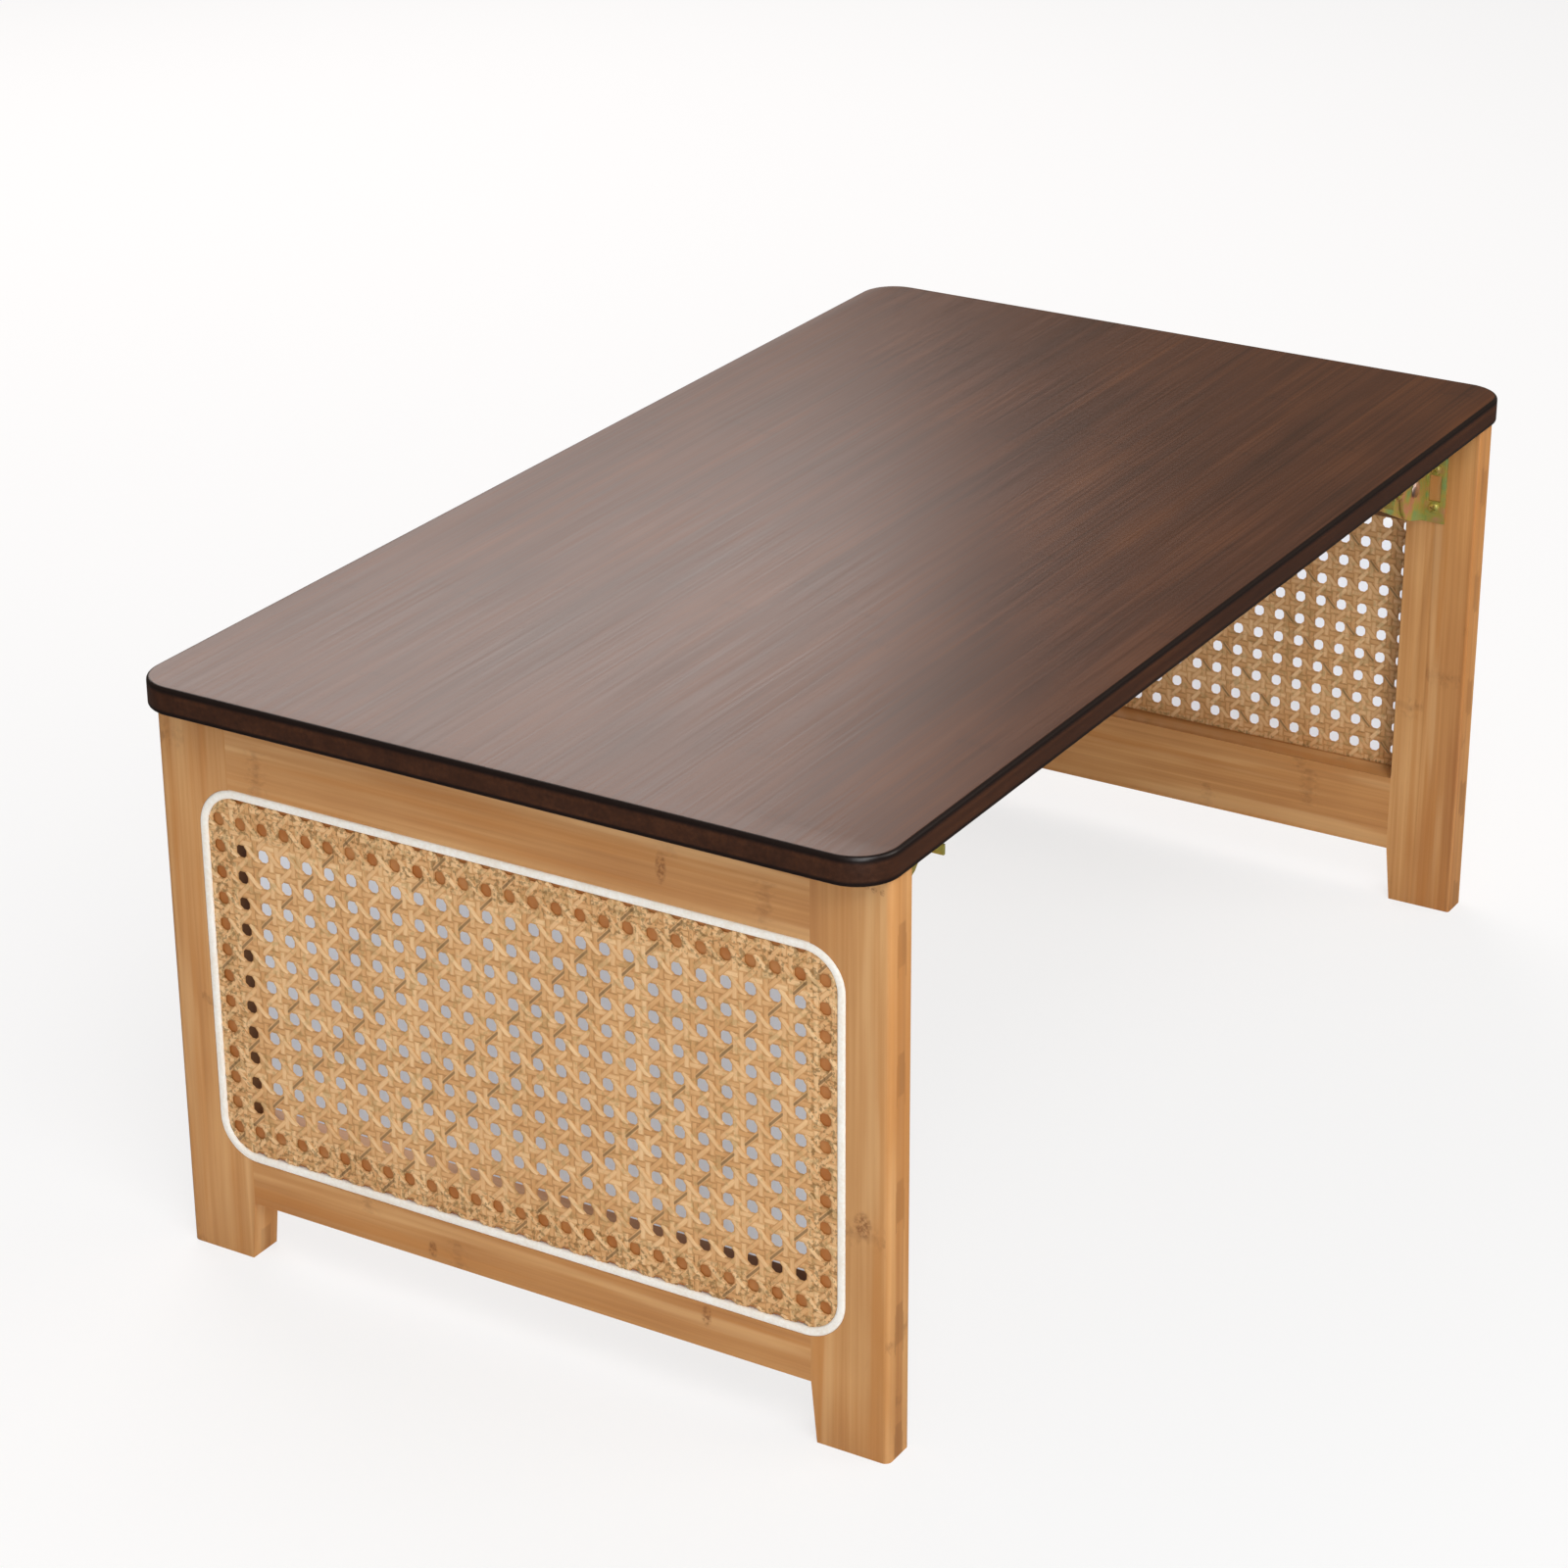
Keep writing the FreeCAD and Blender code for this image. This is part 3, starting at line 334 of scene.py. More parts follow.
def bamboo(name, axes, colours, strip, layer, gloss, calm, core=None):
    """Laminated bamboo: long strips side by side and in layers, each with its own tone and its own nodes.

    axes names the object axes along the strips, across them and through the layers.
    """
    light, middle, dark = colours
    recipe = Recipe(name)
    place = recipe.place()
    a, b, c = (place["XYZ".index(axis)] for axis in axes)
    wander = recipe.noise(recipe.vector(recipe.math("MULTIPLY", a, 2.2), recipe.math("MULTIPLY", b, 8), 0.3))
    sway = recipe.math("MULTIPLY_ADD", wander, STRIP_SWAY, b)
    strip_place = recipe.math("DIVIDE", recipe.math("ADD", sway, STRIP_START), strip)
    layer_place = recipe.math("DIVIDE", recipe.math("ADD", c, LAYER_START), layer)
    strip_number = recipe.math("FLOOR", strip_place)
    layer_number = recipe.math("FLOOR", layer_place)
    tone = recipe.chance(recipe.vector(strip_number, layer_number, TONE_SEED))
    start = recipe.chance(recipe.vector(strip_number, layer_number, NODE_SEED))

    def grain(along, beside, detail):
        """Noise drawn out along the strips, with this many repeats in a metre along and beside them."""
        stretched = ((a, along), (sway, beside), (c, beside))
        place = recipe.vector(*(recipe.math("MULTIPLY", part, size) for part, size in stretched))
        return recipe.noise(place, detail=detail)

    fibre = grain(7, 620, 3)
    streak = grain(3, 150, 3)
    cloud = grain(9, 24, 2)
    shade = recipe.math("MULTIPLY_ADD", recipe.math("SUBTRACT", tone, 0.5), calm["tone"], 0.5)
    for pattern, share in ((streak, calm["streak"]), (fibre, calm["fibre"]), (cloud, calm["cloud"])):
        shade = recipe.math("MULTIPLY_ADD", recipe.math("SUBTRACT", pattern, 0.5), 2 * share, shade)
    colour = recipe.ramp(shade, (0.20, dark), (0.50, middle), (0.80, light))

    # Pores: short dark dashes along the fibres.
    pore = recipe.spread(grain(90, 1300, 1), *PORE_LEVELS, 0.0, calm["pore"])
    colour = recipe.mix(pore, colour, srgb(*dark))

    # Nodes: every strip has its joints at its own places, a fine line in a mottled band.
    turns = recipe.math("MULTIPLY_ADD", start, 9, recipe.math("DIVIDE", recipe.math("ADD", a, 3.0), NODE_SPACING))
    turns = recipe.math("MULTIPLY_ADD", recipe.math("SUBTRACT", streak, 0.5), 0.030, turns)
    turns = recipe.math("MULTIPLY_ADD", recipe.math("SUBTRACT", cloud, 0.5), 0.024, turns)
    distance = recipe.math("ABSOLUTE", recipe.math("SUBTRACT", recipe.math("FRACT", turns), 0.5))
    speckle = grain(260, 420, 2)
    band = recipe.spread(distance, *NODE_BAND, calm["node"], 0.0)
    spot = recipe.product(band, recipe.spread(speckle, 0.46, 0.66))
    line = recipe.spread(distance, *NODE_LINE, 0.6 * calm["node"], 0.0)
    knot = srgb(*(round(level * NODE_SHADE) for level in dark))
    colour = recipe.mix(spot, colour, knot)
    colour = recipe.mix(line, colour, knot)

    # Glue lines: the thin dark joints between strips and between layers.
    strip_edge = recipe.math("PINGPONG", strip_place, 0.5)
    layer_edge = recipe.math("PINGPONG", layer_place, 0.5)
    seam = recipe.math(
        "MAXIMUM",
        recipe.spread(strip_edge, 0.0, STRIP_SEAM / strip, calm["seam"], 0.0),
        recipe.spread(layer_edge, 0.0, LAYER_SEAM / layer, calm["seam"], 0.0),
    )
    colour = recipe.mix(seam, colour, knot)

    # Core: where there is one, its darker blocks show as dashes down the middle of the narrow sides.
    if core:
        middle_line, half, pitch, share = core
        off = recipe.math("ABSOLUTE", recipe.math("SUBTRACT", recipe.math("ABSOLUTE", c), middle_line))
        inside = recipe.spread(off, half - CORE_SOFT_EDGE, half + CORE_SOFT_EDGE, 1.0, 0.0)
        shift = recipe.math("MULTIPLY_ADD", tone, 0.12, CORE_PHASE)
        turn = recipe.math("ADD", recipe.math("DIVIDE", a, pitch), shift)
        block = recipe.spread(recipe.math("PINGPONG", turn, 0.5), share, share + 0.03, CORE_STRENGTH, 0.0)
        colour = recipe.mix(recipe.product(inside, block), colour, knot)

    recipe.feed(recipe.shader.inputs["Base Color"], colour)
    recipe.feed(recipe.shader.inputs["Roughness"], recipe.spread(fibre, 0.2, 0.8, gloss - 0.04, gloss + 0.06))
    recipe.shader.inputs["Specular IOR Level"].default_value = 0.5
    recipe.bump(recipe.math("MULTIPLY_ADD", seam, -0.8, fibre), GRAIN_DEPTH)
    return recipe, colour


def make_board():
    size = (BOARD_LENGTH, BOARD_WIDTH, BOARD_THICKNESS)
    middle = BOARD_TOP - BOARD_THICKNESS / 2
    bpy.ops.object.select_all(action="DESELECT")
    bpy.ops.mesh.primitive_cube_add(size=1, location=(0, 0, middle), scale=size)
    board = bpy.context.object
    board.name = "board"
    bpy.ops.object.transform_apply(location=True, rotation=True, scale=True)
    bpy.ops.object.mode_set(mode="EDIT")
    select_parts(board, "EDGE", lambda edge: abs(edge.verts[0].co.z - edge.verts[1].co.z) > RIM_ROUND)
    bpy.ops.mesh.bevel(offset=CORNER_RADIUS, segments=CORNER_STEPS, affect="EDGES")
    for height, radius in ((BOARD_TOP, RIM_ROUND), (BOARD_TOP - BOARD_THICKNESS, UNDER_ROUND)):
        select_parts(board, "EDGE", lambda edge: all(abs(vert.co.z - height) < SAME_HEIGHT for vert in edge.verts))
        bpy.ops.mesh.bevel(offset=radius, segments=RIM_STEPS, affect="EDGES")
    bpy.ops.object.mode_set(mode="OBJECT")
    bpy.ops.object.shade_smooth_by_angle(angle=BOARD_SMOOTH)
    sizes = (BOARD_STRIP, BOARD_LAYER, BOARD_GLOSS)
    recipe, colour = bamboo("stained_bamboo", "XYZ", STAIN_COLOURS, *sizes, STAIN_CALM)
    z = recipe.place()[2]
    # Painted shade along the rim's upper arris and lower edge, and the whole side band darker.
    for first, full, last, end, share in RIM_LINES:
        line = recipe.product(recipe.spread(z, first, full), recipe.spread(z, last, end, share, 0.0))
        colour = recipe.mix(line, colour, srgb(*RIM_COLOUR))
    recipe.feed(recipe.shader.inputs["Base Color"], colour)
    board.data.materials.append(recipe.material)
    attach(board, "tabletop")
    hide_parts("tabletop")


make_board()


# End frames: two legs and two rails each, laminated bamboo with a clear satin lacquer.
# The rails are tenoned between the legs and sanded flush, and every arris is eased.
FRAME_COLOURS = ((228, 176, 116), (206, 148, 88), (178, 116, 62))
FRAME_LAYER = 0.006
FRAME_GLOSS = 0.42
LEG_STRIP = 0.0205
RAIL_STRIP = 0.0225
FRAME_CALM = {"tone": 0.20, "streak": 0.30, "fibre": 0.16, "cloud": 0.26, "node": 0.30, "seam": 0.12, "pore": 0.12}
# Streaks of another tone: the colour, the place of the pattern, the noise levels where it starts and is full,
# and its strength.
ORANGE_STREAKS = ((198, 128, 56), 3.1, 0.50, 0.66, 0.42)
PALE_STREAKS = ((234, 190, 134), 9.4, 0.52, 0.70, 0.40)
# Knots on the left end's outer face: y, z, half width and half height.
KNOT_COLOUR = (134, 80, 38)
KNOT_STRENGTH = 0.80
KNOTS = (
    (-0.1850, 0.2800, 0.0016, 0.0016),
    (-0.1890, 0.2795, 0.0014, 0.0018),
    (-0.1812, 0.2806, 0.0018, 0.0014),
    (-0.1800, 0.1180, 0.0050, 0.0075),
    (-0.0800, 0.2650, 0.0030, 0.0085),
    (-0.1000, 0.0480, 0.0030, 0.0060),
    (0.0500, 0.0370, 0.0028, 0.0050),
)
# The ledge under the cane, between two depths from the table's middle and within half a width and height.
LEDGE_DEPTHS = (0.3262, 0.3284)
LEDGE_HALF_WIDTH = 0.1675
LEDGE_MIDDLE = 0.151
LEDGE_HALF_HEIGHT = 0.094
LEDGE_COLOUR = (178, 106, 46)
# The opening's walls, painted dark as shade behind the cane, and at the left end painted shade on the front part of
# their sill.
WALL_DEPTH = 0.3270
WALL_HALF_WIDTH = 0.1542
WALL_MIDDLE = 0.153
WALL_HALF_HEIGHT = 0.0776
WALL_SHADE_COLOUR = (78, 40, 18)
WALL_SHADE_STRENGTH = 0.8
SILL_HEIGHT = 0.0742
SILL_HALF = 0.0011
SILL_FADE = (-0.13, 0.02)
# The core's dashes on a leg's narrow sides: depth of their line, half width, pitch, and each dash's half share.
CORE = (0.320, 0.0038, 0.0615, 0.15)
OPENING_HALF = 0.154
ON_JOINT = 0.00005
FRAME_ARRIS = 0.0007
FRAME_ARRIS_STEPS = 3
SHARP = math.radians(30)
FLAT = math.radians(0.5)
SAME_POINT = 0.000002


def frame_bamboo(name, axes, strip, core=None):
    """Clear lacquered bamboo with orange and pale streaks and a few knots.

    The sunk ledge under the cane is a deeper orange, partly raw wood and partly painted shade,
    and the opening's walls behind it are dark with painted shade.
    """
    recipe, colour = bamboo(name, axes, FRAME_COLOURS, strip, FRAME_LAYER, FRAME_GLOSS, FRAME_CALM, core)
    x, y, z = recipe.place()
    depth = recipe.math("ABSOLUTE", x)
    along, beside = (recipe.place()["XYZ".index(axis)] for axis in axes[:2])
    for tone, salt, first, last, share in (ORANGE_STREAKS, PALE_STREAKS):
        place = recipe.vector(
            recipe.math("MULTIPLY", along, 5),
            recipe.math("MULTIPLY", beside, 95),
            recipe.math("MULTIPLY_ADD", depth, 60, salt),
        )
        streaks = recipe.spread(recipe.noise(place, detail=2), first, last, 0.0, share)
        colour = recipe.mix(streaks, colour, srgb(*tone))
    mottle = recipe.spread(recipe.noise(recipe.vector(x, y, z), scale=520, detail=3), 0.36, 0.66, 0.15, 1.0)
    for knot_y, knot_z, half_y, half_z in KNOTS:
        over = recipe.math("DIVIDE", recipe.math("ADD", y, -knot_y), half_y)
        up = recipe.math("DIVIDE", recipe.math("ADD", z, -knot_z), half_z)
        reach = recipe.math("ADD", recipe.product(over, over), recipe.product(up, up))
        fades = recipe.spread(reach, 0.1, 1.2, KNOT_STRENGTH, 0.0)
        knot = recipe.product(fades, mottle, recipe.math("LESS_THAN", x, -LEDGE_DEPTHS[1]))
        colour = recipe.mix(knot, colour, srgb(*KNOT_COLOUR))
    beside = recipe.math("ABSOLUTE", y)
    sunk = recipe.product(
        recipe.math("GREATER_THAN", depth, LEDGE_DEPTHS[0]),
        recipe.math("LESS_THAN", depth, LEDGE_DEPTHS[1]),
        recipe.math("LESS_THAN", beside, LEDGE_HALF_WIDTH),
        recipe.math("COMPARE", z, LEDGE_MIDDLE, LEDGE_HALF_HEIGHT),
        recipe.spread(recipe.noise(recipe.vector(x, y, z), scale=70, detail=2), 0.3, 0.7, 0.55, 0.95),
    )
    # The ledge's deeper orange: raw wood, and painted shade behind the cane.
    colour = recipe.mix(sunk, colour, srgb(*LEDGE_COLOUR))
    # Painted shade on the opening's walls and, at the left end, on the front of their sill.
    sill = recipe.product(
        recipe.math("COMPARE", z, SILL_HEIGHT, SILL_HALF),
        recipe.spread(y, *SILL_FADE, 1.0, 0.0),
        recipe.math("LESS_THAN", x, 0.0),
    )
    wall = recipe.product(
        recipe.math("MAXIMUM", recipe.math("COMPARE", z, WALL_MIDDLE, WALL_HALF_HEIGHT), sill),
        recipe.math("LESS_THAN", depth, WALL_DEPTH),
        recipe.math("LESS_THAN", beside, WALL_HALF_WIDTH),
        WALL_SHADE_STRENGTH,
    )
    colour = recipe.mix(wall, colour, srgb(*WALL_SHADE_COLOUR))
    recipe.feed(recipe.shader.inputs["Base Color"], colour)
    return recipe.material


def merged_copy(node, name):
    """A copy of a CAD piece whose loose triangles are joined and whose flat faces are whole."""
    piece = bpy.data.objects.new(name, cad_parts[node].data.copy())
    bpy.context.collection.objects.link(piece)
    piece.data.materials.clear()
    choose_only(piece)
    bpy.ops.object.mode_set(mode="EDIT")
    bpy.ops.mesh.select_all(action="SELECT")
    bpy.ops.mesh.remove_doubles(threshold=SAME_POINT)
    bpy.ops.mesh.dissolve_limited(angle_limit=FLAT)
    bpy.ops.object.mode_set(mode="OBJECT")
    return piece


def is_sharp(edge):
    return len(edge.link_faces) == 2 and edge.calc_face_angle(0) > SHARP


def is_arris(edge):
    """A sharp edge of a timber, but not one at a shoulder, where leg and rail are flush."""
    at_joint = all(abs(abs(vert.co.y) - OPENING_HALF) < ON_JOINT for vert in edge.verts)
    return is_sharp(edge) and not at_joint


def make_eased(node, kind, chosen, size, steps, material, body):
    """A CAD piece with its chosen edges eased, in that piece's place on its body."""
    piece = merged_copy(node, f"{node}_{kind}")
    bpy.ops.object.mode_set(mode="EDIT")
    select_parts(piece, "EDGE", chosen)
    bpy.ops.mesh.bevel(offset=size, segments=steps, affect="EDGES", clamp_overlap=True)
    bpy.ops.object.mode_set(mode="OBJECT")
    bpy.ops.object.shade_smooth_by_angle(angle=SHARP)
    piece.data.materials.append(material)
    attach(piece, body)
    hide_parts(node)


def make_timber(node, body, material):
    make_eased(node, "timber", is_arris, FRAME_ARRIS, FRAME_ARRIS_STEPS, material, body)


leg_bamboo = frame_bamboo("leg_bamboo", "ZYX", LEG_STRIP, CORE)
rail_bamboo = frame_bamboo("rail_bamboo", "YZX", RAIL_STRIP)
for end in ("left", "right"):
    for side in ("front", "rear"):
        make_timber(f"{end}_{side}_leg", f"{end}_frame", leg_bamboo)
    for rail in ("top_rail", "bottom_rail"):
        make_timber(f"{end}_{rail}", f"{end}_frame", rail_bamboo)


# Cane panels: machine-woven webbing of peeled rattan. Upright and level strands run in pairs, and two
# sets of slanting strands pass over and under them, which leaves a round eye in every cell.
# The sheet lies on the ledge round the opening, and its border turns down into the groove.
EYE_PITCH_ACROSS = 0.0124
EYE_PITCH_UP = 0.0134
CANE_MIDDLE = 0.151
CANE_DEPTH = -0.329 + 0.00078
PAIR_OFFSET_SHARE = 0.138
PAIR_WIDTH_SHARE = 0.270
SLANT_WIDTHS = (0.0026, 0.0027)
SLANT_SWAY = 0.00040
STRAND_THICKNESS = 0.00034
STRAND_CROWN = 0.00009
PAIR_WAVE = 0.00018
SLANT_WAVE = 0.00040
PANEL_HALF_WIDTH = 0.1669
PANEL_HALF_HEIGHT = 0.0924
PANEL_CORNER = 0.0164
TURN_ROUND = 0.0004
TURN_DOWN = 0.0040
TURN_SPARE = 0.0012
TURN_FLATTENS = 0.001
CELL_STEPS = 8
UPRIGHT_CELLS = 16
UPRIGHT_PAIRS = 28
LEVEL_CELLS = 28
LEVEL_PAIRS = 14
SLANT_CELLS = 16
SLANT_COUNT = 44
SLANT_EASE = 0.86
SAME_END = 0.00002
# Tone ranges for each set of strands; the falling slants' higher range is partly a painted highlight.
PAIR_TONES = (0.1, 0.7)
FALLING_TONES = (0.5, 0.85)
RISING_TONES = (0.2, 0.6)
GAP_TONE = -0.4
# The rising strands, counted from the middle, that carry a painted shade line for a dark gap;
# the material knows them by a tone below 0.
DARK_SLANTS = (-14, -10, -7, -2, 0, 6, 10, 15)
CANE_LIGHT = (250, 212, 160)
CANE_MIDDLE_TONE = (216, 162, 104)
CANE_DARK = (150, 98, 50)
CANE_GREEN = (164, 138, 84)
CANE_BORDER_SHADE = (124, 94, 46)
GAP_SHADE_COLOUR = (108, 78, 40)
GAP_SHADE_STRENGTH = 0.68
BORDER_HALF_WIDTH = 0.1520
BORDER_HALF_HEIGHT = 0.0750
CANE_SPECULAR = 0.45
FIBRE_DEPTH = 0.00005
CANE_SMOOTH = math.radians(50)
CANE_SEED = 11


def cane_material():
    """Each strand has its own tone, fine fibres along it and a darker edge of painted shade."""
    recipe = Recipe("woven_cane")
    strand = recipe.node("Attribute", attribute_name="strand")
    parts = recipe.node("SeparateXYZ")
    recipe.feed(parts.inputs[0], strand.outputs["Vector"])
    run, beside, tone = parts.outputs

    def along_strand(repeats, detail):
        stretched = zip((run, beside, tone), repeats)
        return recipe.noise(recipe.vector(*(recipe.math("MULTIPLY", *pair) for pair in stretched)), detail=detail)

    fibre = along_strand((60, 5200, 90), 3)
    patch = along_strand((110, 300, 70), 2)
    shade = recipe.math("MULTIPLY_ADD", recipe.math("ABSOLUTE", tone), 0.38, 0.22)
    shade = recipe.math("MULTIPLY_ADD", fibre, 0.24, shade)
    shade = recipe.math("MULTIPLY_ADD", patch, 0.28, shade)
    off = recipe.math("ABSOLUTE", beside)
    # Painted shade along each strand's edges, where it meets the next.
    shade = recipe.math("SUBTRACT", shade, recipe.spread(off, 0.0007, 0.0013, 0.0, 0.18))
    colour = recipe.ramp(shade, (0.10, CANE_DARK), (0.50, CANE_MIDDLE_TONE), (0.86, CANE_LIGHT))
    x, y, z = recipe.place()
    moss = recipe.noise(recipe.vector(x, y, z), scale=230, detail=3)
    colour = recipe.mix(recipe.spread(moss, 0.52, 0.66, 0.0, 0.36), colour, srgb(*CANE_GREEN))
    # Over the ledge the strands are spotted darker, painted shade for the small gaps between them.
    over = recipe.math("ADD", recipe.math("ABSOLUTE", y), -BORDER_HALF_WIDTH)
    rise = recipe.math("ABSOLUTE", recipe.math("ADD", z, -CANE_MIDDLE))
    up = recipe.math("ADD", rise, -BORDER_HALF_HEIGHT)
    border = recipe.spread(recipe.math("MAXIMUM", over, up), -0.002, 0.002)
    border_shade_spots = recipe.spread(recipe.noise(recipe.vector(x, y, z), scale=480, detail=2), 0.52, 0.62, 0.0, 0.60)
    colour = recipe.mix(recipe.product(border, border_shade_spots), colour, srgb(*CANE_BORDER_SHADE))
    # Every few cells a dark line of painted shade runs down a slanting strand, for the gap between two of them.
    gap = recipe.spread(off, 0.00044, 0.00080, GAP_SHADE_STRENGTH, 0.0)
    gap = recipe.product(recipe.math("LESS_THAN", tone, 0.0), gap)
    colour = recipe.mix(gap, colour, srgb(*GAP_SHADE_COLOUR))
    recipe.feed(recipe.shader.inputs["Base Color"], colour)
    recipe.feed(recipe.shader.inputs["Roughness"], recipe.spread(fibre, 0.2, 0.8, 0.34, 0.52))
    recipe.shader.inputs["Specular IOR Level"].default_value = CANE_SPECULAR
    recipe.bump(fibre, FIBRE_DEPTH)
    return recipe.material


def strand_cell(width, step_across, step_up, lifts, start, sway=0.0):
    """One cell's length of strand: a flat strip with a raised middle, waved by one height for each row."""
    bpy.ops.object.select_all(action="DESELECT")
    bpy.ops.mesh.primitive_grid_add(x_subdivisions=CELL_STEPS, y_subdivisions=2, size=1)
    strand = bpy.context.object
    length = math.hypot(step_across, step_up)
    run = (step_across / length, step_up / length)
    for vert in strand.data.vertices:
        share = vert.co.x + 0.5
        reach = share * length
        beside = vert.co.y * width - sway * math.sin(2 * math.pi * share)
        crown = STRAND_CROWN if abs(vert.co.y) < 0.25 else -STRAND_CROWN
        height = crown + lifts[round(share * CELL_STEPS)]
        vert.co = (height, start[0] + run[0] * reach - run[1] * beside, start[1] + run[1] * reach + run[0] * beside)
    return strand


def repeat(piece, across, up, count, merge=False):
    """Copies of a strand in a row, joined end to end where merge is true."""
    choose_only(piece)
    row = piece.modifiers.new("row", "ARRAY")
    row.use_relative_offset = False
    row.use_constant_offset = True
    row.constant_offset_displace = (0, across, up)
    row.count = count
    row.use_merge_vertices = merge
    row.merge_threshold = SAME_END
    bpy.ops.object.modifier_apply(modifier=row.name)


def mark_strands(piece, strands, run, tones):
    """Notes for the material how far along and beside its strand each point lies, and the strand's tone."""
    points = np.empty(len(piece.data.vertices) * 3)
    piece.data.vertices.foreach_get("co", points)
    points = points.reshape(strands, -1, 3)
    length = math.hypot(*run)
    along = points[:, :, 1] * run[0] / length + points[:, :, 2] * run[1] / length
    beside = points[:, :, 2] * run[0] / length - points[:, :, 1] * run[1] / length
    beside -= beside.mean(axis=1, keepdims=True)
    marks = np.stack((along, beside, np.repeat(np.array(tones)[:, None], points.shape[1], axis=1)), axis=2)
    mark = piece.data.attributes.new("strand", "FLOAT_VECTOR", "POINT")
    mark.data.foreach_set("vector", marks.astype(np.float32).ravel())


def fit_to_groove(piece):
    """Cuts the strands a little outside the panel's outline and turns their ends down into the groove."""
    shape = bmesh.new()
    shape.from_mesh(piece.data)
    cut = []
    for vert in shape.verts:
        over_across = abs(vert.co.y) - (PANEL_HALF_WIDTH - PANEL_CORNER)
        over_up = abs(vert.co.z) - (PANEL_HALF_HEIGHT - PANEL_CORNER)
        if over_across > 0 and over_up > 0:
            reach = math.hypot(over_across, over_up)
            outward = (over_across / reach, over_up / reach)
        else:
            reach = max(over_across, over_up)
            outward = (1, 0) if over_across > over_up else (0, 1)
        past = reach - PANEL_CORNER
        if past > TURN_DOWN + TURN_SPARE:
            cut.append(vert)
        elif past > 0:
            back = past - min(past, TURN_ROUND)
            vert.co.y -= math.copysign(outward[0] * back, vert.co.y)
            vert.co.z -= math.copysign(outward[1] * back, vert.co.z)
            share = min(past / TURN_FLATTENS, 1)
            vert.co.x = vert.co.x * (1 - share) - min(back, TURN_DOWN)
    bmesh.ops.delete(shape, geom=cut, context="VERTS")
    for vert in shape.verts:
        vert.co.x = CANE_DEPTH - vert.co.x
        vert.co.z += CANE_MIDDLE
    loose = [vert for vert in shape.verts if not vert.link_faces]
    bmesh.ops.delete(shape, geom=loose, context="VERTS")
    shape.to_mesh(piece.data)
    shape.free()


def finish_strands(piece, material):
    """Gives the strips their thickness and a copy on the other end, then hangs both on their frames."""
    choose_only(piece)
    wall = piece.modifiers.new("wall", "SOLIDIFY")
    wall.thickness = STRAND_THICKNESS
    wall.offset = 0
    bpy.ops.object.modifier_apply(modifier=wall.name)
    bpy.ops.object.mode_set(mode="EDIT")
    bpy.ops.mesh.select_all(action="SELECT")
    bpy.ops.mesh.normals_make_consistent(inside=False)
    bpy.ops.object.mode_set(mode="OBJECT")
    bpy.ops.object.shade_smooth_by_angle(angle=CANE_SMOOTH)
    piece.data.materials.append(material)
    place_at_both_ends(piece, "cane_panel")


def place_at_both_ends(piece, node):
    """The piece at the left end and a copy turned half round at the right end, each on its frame."""
    name = piece.name
    choose_only(piece)
    bpy.ops.object.duplicate()
    other = bpy.context.object
    bpy.ops.transform.rotate(value=math.pi, orient_axis="Z", center_override=(0, 0, 0))
    bpy.ops.object.transform_apply(location=True, rotation=True, scale=True)
    for end, made in (("left", piece), ("right", other)):
        made.name = f"{end}_{name}"
        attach(made, f"{end}_frame")
        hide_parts(f"{end}_{node}")


def make_pairs(name, run, spread, cells, pairs, material, flip, rng):
    """The upright or the level pairs: each strand lies over one of its pair's crossings and under the next."""
    strands = []
    start = tuple(-cells / 2 * step for step in run)
    for hand in (-1, 1):
        wave = PAIR_WAVE * -hand * flip
        lifts = (0, 0, 0, wave, 0, -wave, 0, 0, 0)
        first = -(pairs - 1) / 2
        offset = tuple(begin + (first + hand * PAIR_OFFSET_SHARE) * step for begin, step in zip(start, spread))
        strand = strand_cell(PAIR_WIDTH_SHARE * sum(spread), *run, lifts, offset)
        repeat(strand, *run, cells, merge=True)
        strands.append(strand)
    choose_only(strands[0])
    strands[1].select_set(True)
    bpy.ops.object.join()
    piece = bpy.context.object
    piece.name = name
    repeat(piece, *spread, pairs)
    mark_strands(piece, pairs * 2, run, [rng.uniform(*PAIR_TONES) for _ in range(pairs * 2)])
    fit_to_groove(piece)
    finish_strands(piece, material)


def make_slants(name, lean, wave, material, rng):
    """One set of slanting strands; lean is 1 or -1, and wave says whether they start over or under."""
    height = SLANT_WAVE * wave
    eased = SLANT_EASE * height
    lifts = (height, eased, 0, -eased, -height, -eased, 0, eased, height)
    run = (lean * EYE_PITCH_ACROSS, EYE_PITCH_UP)
    half = SLANT_CELLS // 2
    first = -(SLANT_COUNT // 2)
    start = ((first + 0.5 - lean * half) * EYE_PITCH_ACROSS, -half * EYE_PITCH_UP)
    piece = strand_cell(SLANT_WIDTHS[lean < 0], *run, lifts, start, SLANT_SWAY if lean > 0 else 0.0)
    piece.name = name
    repeat(piece, *run, SLANT_CELLS, merge=True)
    repeat(piece, EYE_PITCH_ACROSS, 0, SLANT_COUNT)
    tones = []
    for number in range(first, first + SLANT_COUNT):
        tone = rng.uniform(*FALLING_TONES)
        if lean == -1:
            tone = GAP_TONE if -(number + 1) in DARK_SLANTS else rng.uniform(*RISING_TONES)
        tones.append(tone)
    mark_strands(piece, SLANT_COUNT, run, tones)
    fit_to_groove(piece)
    finish_strands(piece, material)


